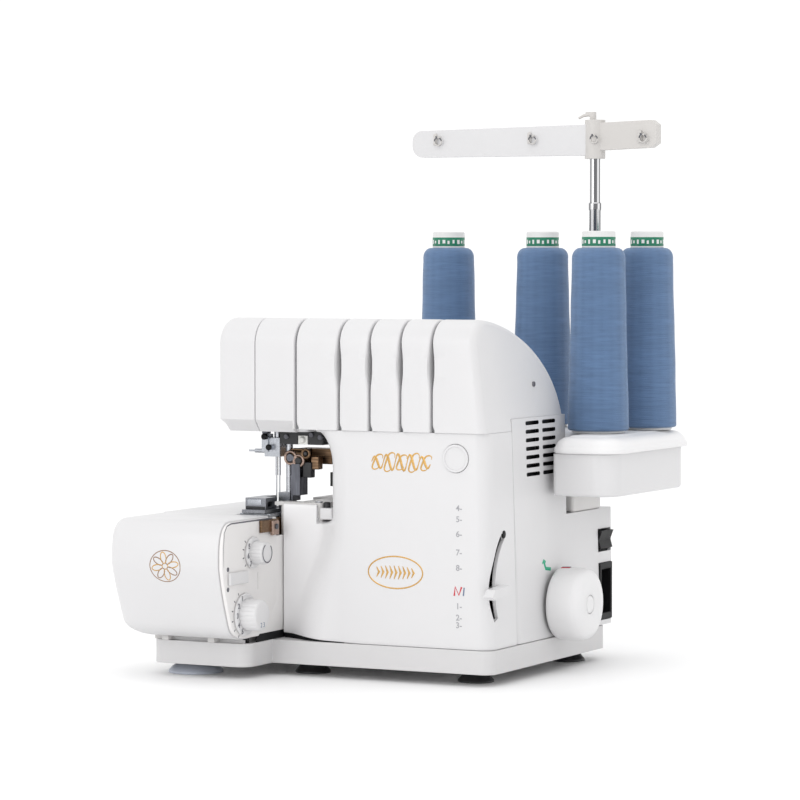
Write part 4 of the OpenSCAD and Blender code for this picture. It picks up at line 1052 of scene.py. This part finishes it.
def make_needle_details():
    block("post_boss", (-45.2, -78.6, 130), (-33.4, -62, 139.6), 1.6, "machine", "white")
    stud("post_screw", "Z", (-41.5, -72), 131.4, 143.2, 144.4, 3, 0.8, "machine", "dark", 32, angle=30)
    block("knife_holder", (-79.9, -119.5, 120.4), (-77.4, -91, 130.6), 0.7, "machine", "bronze")
    block("knife_holder_clamp", (-78.6, -104, 117.4), (-75.2, -93, 129.4), 1.2, "machine", "copper")
    stud("knife_holder_screw", "X", (-98.5, 124.6), -76.2, -74.4, -74, 2.4, 0.6, "machine", "dark_steel")
    knife = NODES["knife_arm"]["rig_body"]
    for k, (x, z, r) in enumerate(((-83.6, 179.6, 5.2), (-76.0, 177.2, 4.6), (-69, 183.4, 3.4))):
        ring = [(a, -58.2, b) for a, b in arc(x, z, r, 0, 360, 28)[:-1]]
        tube("knife_eyelet_%d" % (k + 1), ring, 1.3, knife, "copper" if k < 2 else "bronze", sides=10,
             closed=True)
        stud("knife_screw_%d" % (k + 1), "Y", (x, z), -57.6, -59.4, -59.9, r - 1.6, 0.6, knife,
             "dark" if k else "dark_steel", 28)
    block("knife_link", (-73, -57.6, 163), (-64.4, -50, 176), 1.2, knife, "dark")
    block("knife_spring", (-66, -56, 170), (-58, -48, 181), 1.4, knife, "bronze")
    needle = NODES["needle_clamp"]["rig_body"]
    for k, (x, z, r) in enumerate(((-103, 188, 2.5), (-107.2, 197, 2.6))):
        stud("clamp_screw_%d" % (k + 1), "Y", (x, z), -60.6, -62.6, -63, r, 0.5, needle, "black", 28)
    block("clamp_cap", (-111.4, -58.6, 199.2), (-106.4, -51, 202.4), 0.8, needle, "dark_steel")
    for k, x in enumerate((-86.5, -62.5, -54)):
        stud("carrier_screw_%d" % (k + 1), "Y", (x, 197.5 + 2 * (k % 2)), -59.8, -61.4, -61.8, 2.1, 0.5,
             "machine", "grey_ink")
    presser = NODES["presser_foot"]["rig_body"]
    block("foot_shadow_block", (-112.6, -84.4, 137), (-94, -83.7, 139.4), 0.3, presser, "dark")
    block("foot_window", (-110.8, -84.5, 140.4), (-97.6, -83.9, 145.2), 0.25, presser, "plate")


def make_guides():
    """Small wire loops clipped on the front of the guide bar, and its hook."""
    body = "mast_high"
    for k, x in enumerate((-45, 47, 106, 152)):
        ring = [(x + 3.4 * c, 143.6 - 0.9 * n, 451 + 3.4 * n) for c, n in arc(0, 0, 1, 100, 420, 20)]
        stem = [(x - 0.6, 143.6, 454.3), (x - 2.6, 144.6, 455.2), (x - 4, 147, 455.4), (x - 4, 149.5, 455.4)]
        tube("guide_loop_%d" % (k + 1), ring, 0.55, body, "dark_steel", sides=10)
        tube("guide_stem_%d" % (k + 1), stem, 0.6, body, "dark_steel", sides=10)
        block("guide_clip_%d" % (k + 1), (x - 5.6, 145.3, 447.6), (x - 2.2, 146.9, 457.6), 0.5, body,
              "greige")
    hook = [(101.2, 462), (101.2, 469), (100.2, 471.6), (97, 472.6), (92, 471.8), (87.5, 469.6)]
    tube("bar_hook", [(x, 153, z) for x, z in hook], lambda t: 2.3 - 1.2 * t, body, "greige", sides=16)


# ---------------------------------------------------------------- build everything
make_head()
make_front_cover()
make_left_block()
make_stand()
make_cones()
make_mast()
make_handwheel()
make_prints()
make_needle_details()
make_guides()
make_dials()

for node, material, width in (
        ("base_plate", "base", 1.6), ("cloth_plate", "white", 1.2), ("needle_bed", "warm", 1.6),
        ("needle_plate", "plate", 0.35),
        ("needle_carrier", "dark", 0.8), ("needle_clamp", "plate", 0.5), ("needles", "steel", 0.05),
        ("needle_bar", "steel", 0.3), ("presser_bar", "steel", 0.3), ("presser_foot", "foot", 0.5),
        ("presser_lifter", "dark", 0.9), ("upper_knife", "dark_steel", 0.3), ("knife_arm", "bronze", 0.7),
        ("lower_knife", "bronze", 0.5), ("feed_dogs", "steel", 0.12), ("lower_looper", "steel", 0.5),
        ("upper_looper", "steel", 0.5), ("looper_bracket", "cast", 0.8), ("lamp", "lens", 0.6),
        ("tension_discs", "steel", 0.15), ("thread_rail", "dark", 0.6), ("vent_baffle", "dark", 0.5),
        ("frame_casting", "cast", 1.0), ("circuit_board", "board", 0.3), ("motor", "cast", 0.6),
        ("shaft_bushes", "bronze", 0.4), ("drive_belt", "belt", 0.3), ("power_inlet", "black", 0.6),
        ("power_rocker", "black", 0.8), ("screws", "steel", 0.25), ("main_shaft", "steel", 0.6),
        ("shaft_pulley", "dark", 0.5), ("motor_pulley", "dark", 0.4), ("eccentrics", "steel", 0.4),
        ("spool_pins", "core", 0.4), ("wire_guides", "greige", 0.2),
        ("latch_slider", "white", 0.7), ("feed_lever", "white", 1.2), ("push_button", "white", 0.5)):
    refine(node, material, width, 3 if width > 1 else 2)


def repaint(obj, index, test):
    """Gives the material at index to the faces whose centre and normal pass the test, in millimetres."""
    for face in obj.data.polygons:
        if test(face.center.x * 1000, face.center.y * 1000, face.center.z * 1000, face.normal):
            face.material_index = index


VENT_Z, VENT_PITCH, VENT_H = 167, 7.1, 3.3
# painted shade: the walls of the vent slots take the black, for the dark inside the vents
rear = refine("rear_cover", ["white", "black"], 0)
repaint(rear, 1, lambda x, y, z, n: (x > 105 and (-18.7 < y < 8 or 14.2 < y < 40.9) and abs(n.x) < 0.5
                                     and min(abs(z - VENT_Z - VENT_PITCH * k - VENT_H / 2) for k in range(7))
                                     < VENT_H / 2 + 0.2))
refine("bed_body", "warm", 1.0)
# painted shade: all feet but the front-left one take the dark nylon, for the shade under the base; the
# front-left foot keeps its blue-grey rubber
feet = refine("feet", ["dark", "rubber"], 0.5)
repaint(feet, 1, lambda x, y, z, n: x < -110 and y < -70)
# painted shade: the bar's right arm, past x 93.5 mm, takes the darker greige for the shade it lies in
bar = refine("thread_bar", ["white", "greige"], 1.3, 3)
repaint(bar, 1, lambda x, y, z, n: x > 93.5)

# ---------------------------------------------------------------- stage, light, camera
floor = bpy.data.meshes.new("floor")
floor.from_pydata([(-9, -9, 0), (9, -9, 0), (9, 14, 0), (-9, 14, 0)], [], [(0, 1, 2, 3)])
floor_shader = Shader("studio_floor", (0.95, 0.95, 0.952), 0.6)
floor_shader.tint(floor_shader.span(floor_shader.noise(2.0), 0, 1), (0.945, 0.945, 0.947))
floor.materials.append(floor_shader.mat)
add_object("floor", floor)

world = bpy.data.worlds.new("studio")
world.use_nodes = True
world.node_tree.nodes["Background"].inputs["Color"].default_value = (1, 1, 1, 1)
world.node_tree.nodes["Background"].inputs["Strength"].default_value = 1.1
bpy.context.scene.world = world


def softbox(name, place_at, target, size, power):
    light = bpy.data.lights.new(name, "AREA")
    light.shape = "RECTANGLE"
    light.size, light.size_y = size
    light.energy = power
    obj = add_object(name, light)
    obj.location = place_at
    obj.rotation_euler = (Vector(target) - Vector(place_at)).to_track_quat("-Z", "Y").to_euler()


softbox("key", (-0.5, -2.9, 1.5), (0, 0, 0.18), (1.8, 1.2), 11)
softbox("low_fill", (-0.35, -2.2, 0.35), (-0.07, 0, 0.1), (0.9, 0.5), 3)
softbox("top", (0.2, 0.2, 2.4), (0, 0, 0.2), (1.8, 1.8), 6)

camera = bpy.data.cameras.new("camera")
camera.lens = 157.5
camera.sensor_width = 36
camera.clip_end = 60
eye = add_object("camera", camera)
eye.location = (1.3385, -2.6460, 0.3548)
AZIMUTH, PITCH = radians(27.0), radians(-2.454)
look = Vector((-sin(AZIMUTH) * cos(PITCH), cos(AZIMUTH) * cos(PITCH), sin(PITCH)))
eye.rotation_euler = look.to_track_quat("-Z", "Y").to_euler()
bpy.context.scene.camera = eye
bpy.context.scene.view_settings.view_transform = "Standard"
